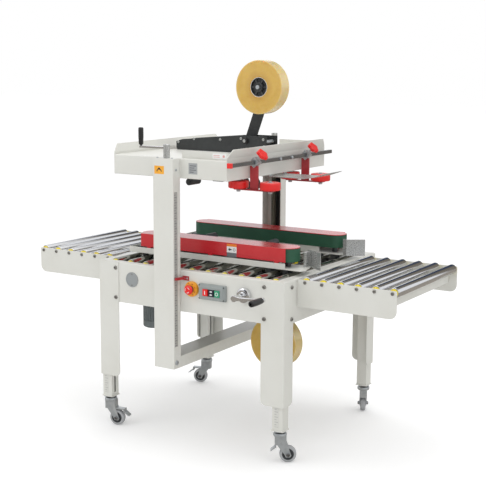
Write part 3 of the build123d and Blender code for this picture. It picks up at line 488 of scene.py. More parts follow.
def foldedSheet(path, axis, low, high, thickness, side=1, bend=0.0045, corners=(0, 0, 0, 0), taper=None):
    # a folded sheet: a path with rounded bends is carried along an axis and thickened to its left (side 1)
    # or right (-1). Corners are the radii at start-low, start-high, end-low and end-high. A taper narrows the
    # path's last stretch, a length and an amount, towards its free edge.
    places, normals = roundedPath(path, bend)
    steps = np.concatenate([[0], np.cumsum(np.linalg.norm(np.diff(places, axis=0), axis=1))])
    total = steps[-1]
    arc = 1 - np.cos(np.linspace(0, math.pi / 2, 7))
    extra = [corner * arc for corner in corners[:2]] + [total - corner * arc for corner in corners[2:]]
    if taper:
        extra.append(np.array([total - taper[0]]))
    where = np.unique(np.round(np.concatenate([steps] + extra), 7))
    line = np.stack([np.interp(where, steps, places[:, k]) for k in (0, 1)], -1)
    normal = np.stack([np.interp(where, steps, normals[:, k]) for k in (0, 1)], -1)
    normal *= side / np.linalg.norm(normal, axis=1)[:, None]
    fromStart, fromEnd = where, total - where
    lows = low + cornerCut(fromStart, corners[0]) + cornerCut(fromEnd, corners[2])
    highs = high - cornerCut(fromStart, corners[1]) - cornerCut(fromEnd, corners[3])
    if taper:
        slope = np.clip(1 - fromEnd / taper[0], 0, 1) * taper[1]
        lows, highs = lows + slope, highs - slope
    inner = line + normal * thickness
    rows = [intoSpace(axis, lows, line), intoSpace(axis, highs, line), intoSpace(axis, highs, inner),
            intoSpace(axis, lows, inner)]
    count = len(where)
    points = np.stack(rows, 1).reshape(-1, 3)
    faces = ringFaces(count, 4)
    return points, faces + [[0, 1, 2, 3], [4 * count - 4 + k for k in (3, 2, 1, 0)]]


def stadiumLoop(xLow, xHigh, centreY, radius, steps=24):
    # two half circles joined by straight runs
    angle = np.linspace(-math.pi / 2, math.pi / 2, steps)
    right = np.stack([xHigh + radius * np.cos(angle), centreY + radius * np.sin(angle)], -1)
    left = np.stack([xLow - radius * np.cos(angle), centreY - radius * np.sin(angle)], -1)
    return np.concatenate([right, left])


def hollowPrism(outer, inner, axis, low, high):
    # two matching loops carried along an axis: an outer wall, an inner wall and two flat rims
    count = len(outer)
    rings = [intoSpace(axis, np.full(count, level), loop) for level, loop in
             ((low, outer), (high, outer), (high, inner), (low, inner))]
    return np.concatenate(rings), ringFaces(4, count, True)


def ringArc(centre, outer, inner, start, turns):
    # a flat band between two radii: out along the turns and back again
    return [(centre[0] + reach * math.cos(start + turn), centre[1] + reach * math.sin(start + turn))
            for reach, angles in ((outer, turns), (inner, turns[::-1])) for turn in angles]


def vertexPlaces(mesh):
    places = np.empty(len(mesh.vertices) * 3, np.float32)
    mesh.vertices.foreach_get("co", places)
    return places.reshape(-1, 3)


def storeValues(mesh, name, values):
    attribute = mesh.attributes.new(name, "FLOAT", "POINT")
    attribute.data.foreach_set("value", values.astype(np.float32))


weld = 1e5  # corners that agree to a hundredth of a millimetre become one


def cadShape(node):
    mesh = frame["nodes"][node].data
    points = vertexPlaces(mesh).astype(float)
    mesh.calc_loop_triangles()
    triangles = np.empty(len(mesh.loop_triangles) * 3, np.int32)
    mesh.loop_triangles.foreach_get("vertices", triangles)
    keys = np.round(points * weld).astype(np.int64)
    firsts, inverse = np.unique(keys, axis=0, return_index=True, return_inverse=True)[1:]
    triangles = inverse.ravel()[triangles].reshape(-1, 3)
    a, b, c = triangles.T
    return points[firsts], triangles[(a != b) & (b != c) & (a != c)]


def islands(node):
    # the separate solids of a node: labels spread over shared corners until they stop changing
    points, triangles = cadShape(node)
    labels = np.arange(len(points))
    while True:
        least = labels[triangles].min(axis=1)
        after = labels.copy()
        for corner in range(3):
            np.minimum.at(after, triangles[:, corner], least)
        after = after[after]
        if (after == labels).all():
            break
        labels = after
    found = []
    for label in np.unique(labels[triangles[:, 0]]):
        mine = triangles[labels[triangles[:, 0]] == label]
        used, local = np.unique(mine, return_inverse=True)
        found.append((points[used], local.reshape(-1, 3).tolist()))
    return found


def extent(shape):
    low, high = shape[0].min(0), shape[0].max(0)
    return low, high, high - low, (low + high) / 2


finishing = {"sharpAngle": 32, "flatAngle": 1.0}


def addPiece(name, shape, finish, body, replaced=(), bevel=0.0, segments=2, merge=False):
    mesh = bpy.data.meshes.new(name)
    mesh.from_pydata(shape[0].tolist(), [], shape[1])
    work = bmesh.new()
    work.from_mesh(mesh)
    if merge:
        flat = math.radians(finishing["flatAngle"])
        bmesh.ops.dissolve_limit(work, angle_limit=flat, verts=work.verts, edges=work.edges)
    else:
        bmesh.ops.recalc_face_normals(work, faces=work.faces)
    work.to_mesh(mesh)
    work.free()
    mesh.polygons.foreach_set("use_smooth", np.ones(len(mesh.polygons), bool))
    mesh.set_sharp_from_angle(angle=math.radians(finishing["sharpAngle"]))
    mesh.materials.append(finishes[finish])
    piece = bpy.data.objects.new(name, mesh)
    bpy.context.scene.collection.objects.link(piece)
    if bevel:
        rounding = piece.modifiers.new("edges", "BEVEL")
        rounding.width = bevel
        rounding.segments = segments
        rounding.limit_method = "ANGLE"
        rounding.angle_limit = math.radians(finishing["sharpAngle"])
        rounding.harden_normals = True
    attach(piece, body)
    if replaced:
        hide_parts(*replaced)
    return piece


def fromCad(node, rules, bevel=0.0008):
    # every solid goes to the first rule whose test it passes; each rule's solids become one piece
    groups = {}
    for shape in islands(node):
        size, middle = extent(shape)[2:]
        for label, finish, test in rules:
            if test(size, middle):
                if finish:
                    groups.setdefault((label, finish), []).append(shape)
                break
    for (label, finish), shapes in groups.items():
        addPiece(f"{node}_{label}", join(*shapes), finish, bodyOf[node], [node], bevel, merge=True)


def anything(size, middle):
    return True


bedLow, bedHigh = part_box("bed_panels")
legLow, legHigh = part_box("outer_legs")
conveyorLow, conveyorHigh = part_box("conveyor_frames")
mastLow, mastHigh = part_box("mast_columns")
middleY = (bedLow.y + bedHigh.y) / 2

sheetMetal = {"thickness": 0.003, "bend": 0.0045, "edge": 0.0005}
bed = {"sideFlange": 0.028, "endFlange": 0.038, "footFlange": 0.028, "footShort": 0.055, "footInset": 0.06,
       "panelGap": 0.0001}
leg = {"flangeX": 0.100, "flangeY": 0.068, "corner": 0.022, "bend": 0.005}
conveyor = {"corner": 0.028, "topCorner": 0.006, "depth": 0.104, "crossInset": 0.036, "crossDepth": 0.038,
            "crossFlange": 0.018, "crossDrop": 0.0704}


def sheetPiece(name, shape, body, replaced=(), finish="cream"):
    return addPiece(name, shape, finish, body, replaced, sheetMetal["edge"], 2)


def makeBed():
    thick = sheetMetal["thickness"]
    top, bottom = bedHigh.z, bedLow.z
    half = (bedHigh.y - bedLow.y) / 2
    end = bedHigh.x
    reach = end - bed["endFlange"] - bed["panelGap"]
    footReach = end - bed["footInset"]
    path = [(middleY - half + bed["sideFlange"], top), (middleY - half, top), (middleY - half, bottom)]
    foot = box((-footReach, bedLow.y + thick, bottom),
               (footReach, bedLow.y + bed["footFlange"], bottom + thick))
    near = join(foldedSheet(path, "x", -reach, reach, thick), foot)
    sheetPiece("sidePanelNear", near, "bed", ["bed_panels"])
    sheetPiece("sidePanelFar", mirrorY(near, middleY), "bed", ["bed_panels"])
    path = [(end - bed["endFlange"], top), (end, top), (end, bottom)]
    foot = box((end - bed["footFlange"], bedLow.y + bed["footShort"], bottom),
               (end - thick, bedHigh.y - bed["footShort"], bottom + thick))
    right = join(foldedSheet(path, "y", middleY - half, middleY + half, thick, -1), foot)
    sheetPiece("endPanelInfeed", right, "bed", ["bed_panels"])
    sheetPiece("endPanelOutfeed", mirrorX(right), "bed", ["bed_panels"])


def makeLegs():
    thick, corners = sheetMetal["thickness"], (leg["corner"], 0, leg["corner"], 0)
    for sideX, xName in ((1, "Infeed"), (-1, "Outfeed")):
        for sideY, yName in ((-1, "Near"), (1, "Far")):
            x = legHigh.x * sideX
            y = legLow.y if sideY < 0 else legHigh.y
            path = [(x - sideX * leg["flangeX"], y), (x, y), (x, y - sideY * leg["flangeY"])]
            shape = foldedSheet(path, "z", legLow.z, legHigh.z, thick, -sideX * sideY, leg["bend"], corners)
            sheetPiece(f"leg{xName}{yName}", shape, "bed", ["outer_legs"])


def makeConveyors():
    thick = sheetMetal["thickness"]
    top, start, end = conveyorHigh.z, legHigh.x, conveyorHigh.x
    path = [(conveyorLow.y, top), (conveyorLow.y, top - conveyor["depth"])]
    corners = (0, conveyor["topCorner"], 0, conveyor["corner"])
    plate = foldedSheet(path, "x", start, end, thick, 1, corners=corners)
    crossX = end - conveyor["crossInset"] + thick
    crossLow = top - conveyor["crossDrop"]
    path = [(crossX, crossLow + conveyor["crossDepth"]), (crossX, crossLow),
            (crossX - conveyor["crossFlange"] - thick, crossLow)]
    cross = foldedSheet(path, "y", conveyorLow.y + thick, conveyorHigh.y - thick, thick, -1)
    both = {"Near": plate, "Far": mirrorY(plate, middleY), "Cross": cross}
    for name, shape in both.items():
        sheetPiece(f"infeed{name}", shape, "bed", ["conveyor_frames"])
        sheetPiece(f"outfeed{name}", mirrorX(shape), "bed", ["conveyor_frames"])


roller = {"radius": 0.019, "capRadius": 0.015, "capLength": 0.007, "rim": 0.0016, "axle": 0.005,
          "lipDepth": 0.003, "lip": 0.001, "capOver": 0.0025, "capSlack": 0.0002, "capEdge": 0.0012,
          "axleOut": 0.0045, "bedAxleOut": 0.025, "splitAxleOut": 0.002, "splitBelow": 0.3}


def rollerShapes(x, z, start, end, axleStart, axleEnd):
    # a chromed tube with rolled rims, a pressed-in cap at each end, and the axle through both
    cap, capLength = roller["capRadius"], roller["capLength"]
    rimCurve = rimRound(roller["rim"], roller["radius"], 5) + (capLength, 0)
    lip = [(capLength + roller["lipDepth"], cap - roller["lip"]), (capLength, cap)]
    near = np.concatenate([lip, rimCurve])
    profile = np.concatenate([near, fromOtherEnd(near, end - start)])
    tube = lathe(profile, (x, start, z), (0, 1, 0), 40)
    length = capLength + roller["capOver"]
    caps = [roundedRod((x, where, z), (0, 1, 0), cap - roller["capSlack"], length, roller["capEdge"], 28)
            for where in (start, end - length)]
    profile = [(0, roller["axle"]), (axleEnd - axleStart, roller["axle"])]
    axle = lathe(profile, (x, axleStart, z), (0, 1, 0), 16)
    return tube, join(*caps), axle


def makeRollers():
    out = roller["axleOut"]
    for end in ("infeed", "outfeed"):
        for index in range(1, 7):
            node = f"{end}_roller_{index}"
            low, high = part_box(node)
            middle = (low + high) / 2
            shapes = rollerShapes(middle.x, middle.z, low.y + out, high.y - out, low.y, high.y)
            for shape, label, finish in zip(shapes, ("tube", "caps", "axle"), ("chrome", "yellow", "zinc")):
                addPiece(f"{node}_{label}", shape, finish, node, [node])
    groups = ([], [], [])
    for island in islands("bed_rollers"):
        low, high, _, middle = extent(island)
        # an end near the bed's middle belongs to a split roller, whose axle hardly shows
        outs = [roller["bedAxleOut"] if abs(y - middleY) > roller["splitBelow"] else roller["splitAxleOut"]
                for y in (low[1], high[1])]
        shapes = rollerShapes(middle[0], middle[2], low[1] + outs[0], high[1] - outs[1], low[1], high[1])
        for group, shape in zip(groups, shapes):
            group.append(shape)
    # the bed rollers' tubes take the darker chrome, painted shade
    for group, label, finish in zip(groups, ("tubes", "caps", "axles"), ("shadedBedChrome", "yellow", "zinc")):
        addPiece(f"bed_rollers_{label}", join(*group), finish, "bed", ["bed_rollers"])


def buttonHead(origin, axis, radius, height, socket=0.45):
    # a quarter ellipse for the dome, drawn in to a recess in its middle
    turn = np.linspace(0, math.pi / 2, 5)
    dome = np.stack([height * (0.2 + 0.8 * np.sin(turn)), radius * (0.62 + 0.38 * np.cos(turn))], -1)
    recess = [(height, radius * (socket + 0.08)), (height * 0.9, radius * socket),
              (height * 0.35, radius * socket * 0.94)]
    return lathe(np.concatenate([[(0, radius)], dome, recess]), origin, axis, 24)


hardware = {"roundWithin": 0.0012, "headBelow": 0.02, "discAbove": 0.05, "discFloor": 0.7, "discRim": 0.75,
            "discScrewRadius": 0.0030, "discScrewHeight": 0.0010, "discScrewReach": 0.74, "bevel": 0.0008,
            "pointerScrews": (0.007, 0.019), "pointerScrewRadius": 0.0036, "pointerScrewHeight": 0.002,
            "pointerFace": 0.003}


def makeDisc(foot, away, radius, depth):
    # the round cover: a raised rim round a sunk floor; gives back its two screws
    floor = depth * hardware["discFloor"]
    profile = [(0, radius), (depth * hardware["discRim"], radius), (depth, radius - 0.001),
               (depth, radius - 0.004), (floor, radius - 0.005), (floor, 0.004)]
    addPiece("inspectionDisc", lathe(profile, foot, away, 56), "disc", "bed", ["panel_hardware"])
    spots = [foot + away * (floor - 0.0002) + np.array((0, 0, side * radius * hardware["discScrewReach"]))
             for side in (-1, 1)]
    return [buttonHead(spot, away, hardware["discScrewRadius"], hardware["discScrewHeight"])
            for spot in spots]


def makeHardware():
    heads, trim = [], []
    for island in islands("panel_hardware"):
        size, middle = extent(island)[2:]
        thin = int(np.argmin(size))
        away = np.zeros(3)
        away[thin] = math.copysign(1.0, middle[thin] - (middleY if thin == 1 else 0))
        wide = np.delete(size, thin)
        foot = middle - away * size[thin] / 2
        isRound = abs(wide[0] - wide[1]) < hardware["roundWithin"]
        if isRound and wide.max() < hardware["headBelow"]:
            heads.append(buttonHead(foot, away, wide.max() / 2, size[thin]))
        elif isRound and wide.max() > hardware["discAbove"]:
            heads += makeDisc(foot, away, wide.max() / 2, size[thin])
        else:
            trim.append(island)
    addPiece("screwHeads", join(*heads), "bolt", "bed", ["panel_hardware"])
    for island in trim:
        _, high, _, middle = extent(island)
        isPointer = middle[1] < middleY
        name, finish = ("heightPointer", "darkRed") if isPointer else ("cableGland", "black")
        addPiece(name, island, finish, "bed", ["panel_hardware"], hardware["bevel"], merge=True)
        if isPointer:
            face = high[1] - hardware["pointerFace"]
            screws = [buttonHead((high[0] - inset, face, middle[2]), (0, -1, 0),
                                 hardware["pointerScrewRadius"],
                                 hardware["pointerScrewHeight"]) for inset in hardware["pointerScrews"]]
            addPiece("pointerScrews", join(*screws), "zinc", "bed", ["panel_hardware"])


switch = {"shoulder": 0.010, "taper": 0.009, "pocketSlack": 0.0006, "pocketDepth": 0.005,
          "screwInset": 0.0058, "screwDepth": 0.0145, "screwRadius": 0.0033, "screwHeight": 0.0035,
          "insertDepth": 0.0055, "markDepth": 0.0004, "insertMark": (0.005, 0.0022),
          "insertMarkApart": 0.006, "stopMark": (0.0018, 0.007), "startMark": (0.0068, 0.0048)}


def makeSwitchBox(low, high, pocketLow, pocketHigh):
    # rectangles one before the other: panel, shoulder, smaller front, and a pocket round the buttons
    back, slack = high[1], -switch["pocketSlack"]
    loops = [(back, low, high, 0), (back - switch["shoulder"], low, high, 0),
             (low[1], low, high, switch["taper"]), (low[1], pocketLow, pocketHigh, slack),
             (pocketHigh[1] + switch["pocketDepth"], pocketLow, pocketHigh, slack)]
    rings = [[(first[0] + inset, y, first[2] + inset), (last[0] - inset, y, first[2] + inset),
              (last[0] - inset, y, last[2] - inset), (first[0] + inset, y, last[2] - inset)]
             for y, first, last, inset in loops]
    ends = [[3, 2, 1, 0], [16, 17, 18, 19]]
    shape = np.array(rings).reshape(-1, 3), ringFaces(len(loops), 4) + ends
    addPiece("switchBox", shape, "box", "bed", ["control_panel"], 0.0005)
    inset = switch["screwInset"]
    heads = [buttonHead((x, back - switch["screwDepth"], z), (0, -1, 0), switch["screwRadius"],
                        switch["screwHeight"])
             for x in (low[0] + inset, high[0] - inset) for z in (low[2] + inset, high[2] - inset)]
    addPiece("switchBoxScrews", join(*heads), "darkSteel", "bed", ["control_panel"])


def makeInsert(low, high, middle, pocketHigh):
    insert = box(low, (high[0], pocketHigh[1] + switch["insertDepth"], high[2]))
    addPiece("switchInsert", insert, "ink", "bed", ["control_panel"], 0.0008)
    halfX, halfZ = switch["insertMark"]
    spots = [box((middle[0] - halfX, low[1] - switch["markDepth"], middle[2] + dz - halfZ),
                 (middle[0] + halfX, low[1] + 0.0001, middle[2] + dz + halfZ))
             for dz in (-switch["insertMarkApart"], switch["insertMarkApart"])]
    addPiece("insertMarks", join(*spots), "white", "bed", ["control_panel"])


stopSwitch = {"depth": 0.014, "hole": 0.0105, "rimStart": 0.005, "markRadii": (0.0240, 0.0212),
              "markTurns": (0, 0.15, 0.30), "markStarts": range(15, 360, 45), "markSink": 0.0006,
              "markRise": 0.0002, "arrowRadii": (0.0112, 0.0092), "arrowTurns": (0, 0.35, 0.7, 1.05),
              "arrowStarts": range(20, 360, 120), "arrowRise": 0.0001, "arrowSink": 0.001, "length": 0.0312}


def makeStopRing(middle, back, radius):
    # the amber plate is a turned ring with a rounded rim; a black collar stands in its hole
    depth, hole = stopSwitch["depth"], stopSwitch["hole"]
    profile = [(0, radius), (depth - stopSwitch["rimStart"], radius), (depth - 0.0015, radius - 0.0015),
               (depth, radius - 0.005), (depth, hole), (0, hole)]
    origin = (middle[0], back, middle[2])
    shape = lathe(profile, origin, (0, -1, 0), 56, closed=True)
    addPiece("stopRing", shape, "amber", "bed", ["control_panel"])
    face = back - depth
    arcs = [ringArc((middle[0], middle[2]), *stopSwitch["markRadii"], start, stopSwitch["markTurns"])
            for start in np.radians(stopSwitch["markStarts"])]
    marks = [prism(arc, "y", face - stopSwitch["markRise"], face + stopSwitch["markSink"]) for arc in arcs]
    addPiece("stopRingMarks", join(*marks), "darkRed", "bed", ["control_panel"])
    profile = [(depth - 0.001, 0.0145), (depth + 0.003, 0.0145), (depth + 0.004, 0.0135),
               (depth + 0.004, 0.0098), (depth - 0.001, 0.0098)]
    collar = lathe(profile, origin, (0, -1, 0), 48, closed=True)
    addPiece("stopCollar", collar, "ink", "bed", ["control_panel"])


def makeMushroom():
    # the stem and the rounded head of the emergency stop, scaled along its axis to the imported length
    low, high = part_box("estop_button")
    middle = (low + high) / 2
    radius = (high.x - low.x) / 2
    profile = [(0, 0.009), (0.0182, 0.009), (0.0184, radius - 0.004), (0.020, radius - 0.0008),
               (0.023, radius), (0.0265, radius - 0.0012), (0.0300, radius - 0.0050),
               (stopSwitch["length"], radius - 0.009), (0.0308, 0.004)]
    scale = (high.y - low.y) / stopSwitch["length"]
    profile = [(along * scale, out) for along, out in profile]
    shape = lathe(profile, (middle.x, high.y, middle.z), (0, -1, 0), 48)
    addPiece("stopMushroom", shape, "redPlastic", "estop_button", ["estop_button"])
    arcs = [ringArc((middle.x, middle.z), *stopSwitch["arrowRadii"], start, stopSwitch["arrowTurns"])
            for start in np.radians(stopSwitch["arrowStarts"])]
    arrows = [prism(arc, "y", low.y - stopSwitch["arrowRise"], low.y + stopSwitch["arrowSink"])
              for arc in arcs]
    addPiece("stopMushroomArrows", join(*arrows), "white", "estop_button", ["estop_button"])


def makeControls():
    pocketLow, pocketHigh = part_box("stop_button")[0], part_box("start_button")[1]
    for island in islands("control_panel"):
        low, high, size, middle = extent(island)
        if size[0] > 0.1:
            makeSwitchBox(low, high, pocketLow, pocketHigh)
        elif size[0] > 0.05:
            makeStopRing(middle, high[1], size[0] / 2)
        else:
            makeInsert(low, high, middle, pocketHigh)
    makeMushroom()
    rise, sink = switch["markDepth"], 0.0002
    for node, finish in (("stop_button", "redPlastic"), ("start_button", "greenPlastic")):
        low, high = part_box(node)
        middle = (low + high) / 2
        addPiece(f"{node}_cap", join(*islands(node)), finish, node, [node], 0.0006, merge=True)
        if node == "stop_button":
            halfX, halfZ = switch["stopMark"]
            mark = box((middle.x - halfX, low.y - rise, middle.z - halfZ),
                       (middle.x + halfX, low.y + sink, middle.z + halfZ))
        else:
            outer, inner = switch["startMark"]
            profile = [(-sink, outer), (rise, outer), (rise, inner), (-sink, inner)]
            mark = lathe(profile, (middle.x, low.y, middle.z), (0, -1, 0), 32, closed=True)
        addPiece(f"{node}_mark", mark, "white", node, [node])


makeBed()
makeLegs()
makeConveyors()
makeRollers()
makeHardware()
makeControls()
print("bed, conveyors and controls made")


mast = {"armDepth": 0.077, "armLeft": -0.346, "armRight": 0.180, "inset": 0.045, "deckReach": 0.050,
        "upstandLeft": -0.0305, "upstandBack": 0.014, "upstandHeight": 0.029, "lean": 18, "fold": 0.008,
        "lip": 0.033, "lipTaper": 0.030, "lipBend": 0.006, "bevel": 0.0016}
armY = middleY - (mastHigh.y - middleY - mast["inset"])


def makeMast():
    fromCad("mast_columns", [
        # the thin black strips are slides on the columns' webs, and painted shade for the dark inside of the open
        # channels
        ("slides", "black", lambda size, middle: size[1] < 0.01),
        ("columns", "cream", anything)], mast["bevel"])
    thick = sheetMetal["thickness"]
    top, armLow = mastHigh.z, mastHigh.z - mast["armDepth"]
    left, right = mast["armLeft"], mast["armRight"]
    path = [(middleY - mast["deckReach"], top), (armY, top), (armY, armLow), (armY + mast["inset"], armLow)]
    near = foldedSheet(path, "x", left, right, thick)
    sheetPiece("armNear", near, "mast", ["top_frame"])
    sheetPiece("armFar", mirrorY(near, middleY), "mast", ["top_frame"])
    front = armY + mast["upstandBack"]
    upstand = box((mast["upstandLeft"], front, top), (right, front + thick, top + mast["upstandHeight"]))
    sheetPiece("upstands", join(upstand, mirrorY(upstand, middleY)), "mast", ["top_frame"])
    lean, lip, fold = math.radians(mast["lean"]), mast["lip"], top + mast["fold"]
    taper = (lip * 0.97, mast["lipTaper"])
    for sign, name, x in ((1, "Infeed", right + thick), (-1, "Outfeed", left - thick)):
        path = [(x, armLow), (x, fold), (x + sign * lip * math.sin(lean), fold + lip * math.cos(lean))]
        shape = foldedSheet(path, "y", armY, 2 * middleY - armY, thick, sign, mast["lipBend"], taper=taper)
        sheetPiece(f"cross{name}", shape, "mast", ["top_frame"])


screw = {"pitch": 0.004, "threadDepth": 0.0016, "radius": 0.0098, "hub": 0.013, "hubFoot": 0.012,
         "bore": 0.0068, "boreDepth": 0.008, "gripLength": 0.066, "gripRod": 0.0045, "gripRadius": 0.0100,
         "gripEnd": 0.006, "gripDome": 0.005}


def makeScrewThread(x, y, low, high, radius):
    # a thread drawn as one crest and one root to each turn of the pitch
    pitch = screw["pitch"]
    count = int((high - low) / pitch)
    crest = np.stack([low + pitch * np.arange(count), np.full(count, radius)], -1)
    root = crest + (pitch / 2, -screw["threadDepth"])
    profile = np.stack([crest, root], 1).reshape(-1, 2)
    return lathe(profile, (x, y, 0), (0, 0, 1), 20)


def makeScrews():
    radius, grip = screw["radius"], screw["gripRadius"]
    turn = np.linspace(0, math.pi / 2, 6)
    for node in ("mast_crank", "far_lead_screw"):
        for island in islands(node):
            low, high, size, (x, y, _) = extent(island)
            if size[2] > 0.5:
                top, foot = mastHigh.z, mastHigh.z - screw["hubFoot"]
                thread = makeScrewThread(x, y, low[2], foot, radius)
                profile = [(foot, radius), (top + 0.0006, radius), (top + 0.0006, 0.0125),
                           (top + 0.0012, screw["hub"]), (high[2] - 0.0012, screw["hub"]), (high[2], 0.0118),
                           (high[2], 0.0072), (high[2] - screw["boreDepth"], screw["bore"])]
                hub = lathe(profile, (x, y, 0), (0, 0, 1), 40)
                addPiece(f"{node}_screw", thread, "thread", node, [node])
                addPiece(f"{node}_hub", hub, "stainless", node, [node])
            elif size[2] > 0.05:
                gripLow = high[2] - screw["gripLength"]
                profile = [(low[2], screw["gripRod"]), (gripLow - 0.0008, screw["gripRod"]),
                           (gripLow, 0.0075), (gripLow + 0.003, 0.0088), (gripLow + 0.030, grip)]
                profile += [(high[2] - screw["gripEnd"] * (1 - math.sin(a)),
                             grip - screw["gripDome"] * (1 - math.cos(a))) for a in turn]
                addPiece(f"{node}_grip", lathe(profile, (x, y, 0), (0, 0, 1), 36), "grip", node, [node])
            else:
                addPiece(f"{node}_arm", island, "chrome", node, [node], 0.0012, merge=True)


def isKnob(size, middle):
    return size[2] > 0.034 and size[0] < 0.06 and abs(size[0] - size[2]) < 0.004 and size[1] > 0.04


knob = {"centreX": 0.0125, "centreZ": 0.0095, "stem": 0.0055, "stemStart": 0.020, "foot": 0.0370,
        "footEdge": 0.0025, "footRadius": 0.0208, "crown": 0.0475, "crownEdge": 0.0035, "crownRadius": 0.0198,
        "lobes": 5, "lobeDepth": 0.105}


def makeKnob(node):
    # a star knob on a tilted stem: its profile is turned round and the radius swells into lobes
    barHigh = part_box("press_bar")[1]
    low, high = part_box(node)
    centre = Vector((barHigh.x - knob["centreX"], (low.y + high.y) / 2, barHigh.z - knob["centreZ"]))
    tilt = Vector((1, 0, 1)).normalized()
    stem = lathe([(knob["stemStart"], knob["stem"]), (0.038, knob["stem"])], centre, tilt, 20)
    turn = np.linspace(0, math.pi / 2, 5)
    foot = [(knob["foot"] + knob["footEdge"] * (1 - math.cos(a)),
             knob["footRadius"] + knob["footEdge"] * math.sin(a)) for a in turn]
    crown = [(knob["crown"] + knob["crownEdge"] * math.sin(a),
              knob["crownRadius"] + knob["crownEdge"] * math.cos(a)) for a in turn]
    profile = [(knob["foot"], 0.006)] + foot + crown + [(0.0505, 0.009), (0.0495, 0.005)]
    head = lathe(profile, centre, tilt, 80, knob["lobes"], knob["lobeDepth"])
    addPiece(f"{node}_stem", stem, "zinc", node, [node])
    addPiece(f"{node}_knob", head, "redPlastic", node, [node])


def makePressGear():
    fromCad("press_bar", [
        ("cap", "redPlastic", lambda size, middle: size[1] < 0.013 and size[2] > 0.016),
        ("bar", "bar", lambda size, middle: size[1] > 0.5),
        ("spacers", "zinc", anything)], 0.0010)
    for side in ("near", "far"):
        node = f"press_arm_{side}"
        fromCad(node, [
            ("knob", None, isKnob),
            ("clamp", "zinc", lambda size, middle: 0.02 < size[1] < 0.0275 and size[2] > 0.03),
            ("pins", "zinc", lambda size, middle: size[0] < 0.02 and size[1] < 0.02),
            ("frame", "darkRed", anything)])
        makeKnob(node)
        for end in ("front", "rear"):
            makePressWheel(f"press_wheel_{side}_{end}")


pressWheel = {"edge": 0.005, "bore": 0.0066, "dish": 0.017, "dishRim": 0.019, "dishDepth": 0.0015,
              "bearing": 0.0125, "bearingBore": 0.0072, "bearingSink": 0.002, "bearingFace": 0.0004}


def makePressWheel(node):
    # a turned wheel with rounded rims, dished round its bore on both faces
    low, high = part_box(node)
    radius, height = (high.x - low.x) / 2, high.z - low.z
    origin = ((low.x + high.x) / 2, (low.y + high.y) / 2, low.z)
    rim = rimRound(pressWheel["edge"], radius)
    depth, bore = pressWheel["dishDepth"], pressWheel["bore"]
    under = np.array([(depth, bore), (depth, pressWheel["dish"]), (0, pressWheel["dishRim"])])
    half = np.concatenate([under, rim])
    wheel = lathe(np.concatenate([half, fromOtherEnd(half, height)]), origin, (0, 0, 1), 64, closed=True)
    addPiece(f"{node}_body", wheel, "redPlastic", node, [node])
    sink, face = height - pressWheel["bearingSink"], height - pressWheel["bearingFace"]
    inner, outer = pressWheel["bearingBore"], pressWheel["bearing"]
    profile = [(sink, inner), (sink, outer), (face, outer), (face, inner)]
    washer = lathe(profile, origin, (0, 0, 1), 32, closed=True)
    addPiece(f"{node}_bearing", washer, "zinc", node, [node])


def isRound(size):
    return abs(size[0] - size[1]) < 0.002 and size[0] > 0.08


def isMotor(size, middle):
    return size[2] > 0.1 and isRound(size)


belt = {"thickness": 0.003, "bevel": 0.0007, "screwBack": 0.012, "screwRadius": 0.0045, "screwHeight": 0.0022,
        "screwStart": 0.05, "screwEnd": 0.07, "guidePast": 0.36}


def makeBelts():
    past = belt["guidePast"]
    for side, sign in (("near", -1), ("far", 1)):
        node, cover, base = f"side_belt_{side}", f"belt_cover_{side}", f"belt_base_{side}"
        body = bodyOf[node]
        low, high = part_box(node)
        radius = (high.y - low.y) / 2
        y = (low.y + high.y) / 2
        outer, inner = [stadiumLoop(low.x + radius, high.x - radius, y, radius - inset)
                        for inset in (0.0, belt["thickness"])]
        band = hollowPrism(outer, inner, "z", low.z, high.z)
        addPiece(f"{node}_band", band, "green", body, [node], belt["bevel"])
        fromCad(cover, [("shell", "red", anything)], 0.0011)
        fromCad(f"drive_drum_{side}", [("drum", "darkSteel", anything)])
        low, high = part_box(cover)
        screwY, screwZ = y + sign * belt["screwBack"], high.z - belt["screwHeight"]
        heads = [buttonHead((x, screwY, screwZ), (0, 0, 1), belt["screwRadius"], belt["screwHeight"])
                 for x in (low.x + belt["screwStart"], (low.x + high.x) / 2, high.x - belt["screwEnd"])]
        addPiece(f"{cover}_screws", join(*heads), "zinc", body, [cover])
        fromCad(base, [
            ("tray", "cream", lambda size, middle: size[0] > 0.6 and size[1] > 0.08),
            ("slider", "cream", lambda size, middle: size[0] > 0.4),
            ("motorShell", None, isMotor),
            ("idler", "darkSteel", lambda size, middle: isRound(size)),
            ("guide", "stainless", lambda size, middle: size[2] > 0.06 and middle[0] > past),
            ("brace", "stainless", lambda size, middle: middle[0] > past),
            ("gearbox", "motor", lambda size, middle: middle[2] < 0.6),
            ("carriages", "darkSteel", anything)], 0.0010)
        for island in islands(base):
            low, high, size, middle = extent(island)
            if isMotor(size, middle):
                makeMotor(f"{base}_motor", low, high, bodyOf[base], base)


motor = {"finStart": 0.028, "finEnd": 0.012, "finRadius": 0.955, "fins": 36, "finDepth": 0.045,
         "fanDepth": 0.03}


def makeMotor(name, low, high, body, node):
    # a finned barrel: its radius waves round the axis, between a plain end bell and a fan cover
    origin = ((low[0] + high[0]) / 2, (low[1] + high[1]) / 2, low[2])
    radius, length = (high[0] - low[0]) / 2, high[2] - low[2]
    barrel = radius * motor["finRadius"]
    fins = lathe([(motor["finStart"], barrel), (length - motor["finEnd"], barrel)], origin, (0, 0, 1), 144,
                 motor["fins"], motor["finDepth"])
    bell = lathe([(length - 0.014, radius * 0.97), (length - 0.002, radius * 0.97), (length, radius * 0.9)],
                 origin, (0, 0, 1), 56)
    fan = lathe([(0.006, 0.012), (0.004, radius * 0.6), (0, radius * 0.82), (0.003, radius * 0.95),
                 (0.008, radius), (motor["fanDepth"], radius),
                 (motor["fanDepth"] + 0.001, radius * 0.9)], origin, (0, 0, 1), 56)
    addPiece(name, join(fins, bell, fan), "motor", body, [node])


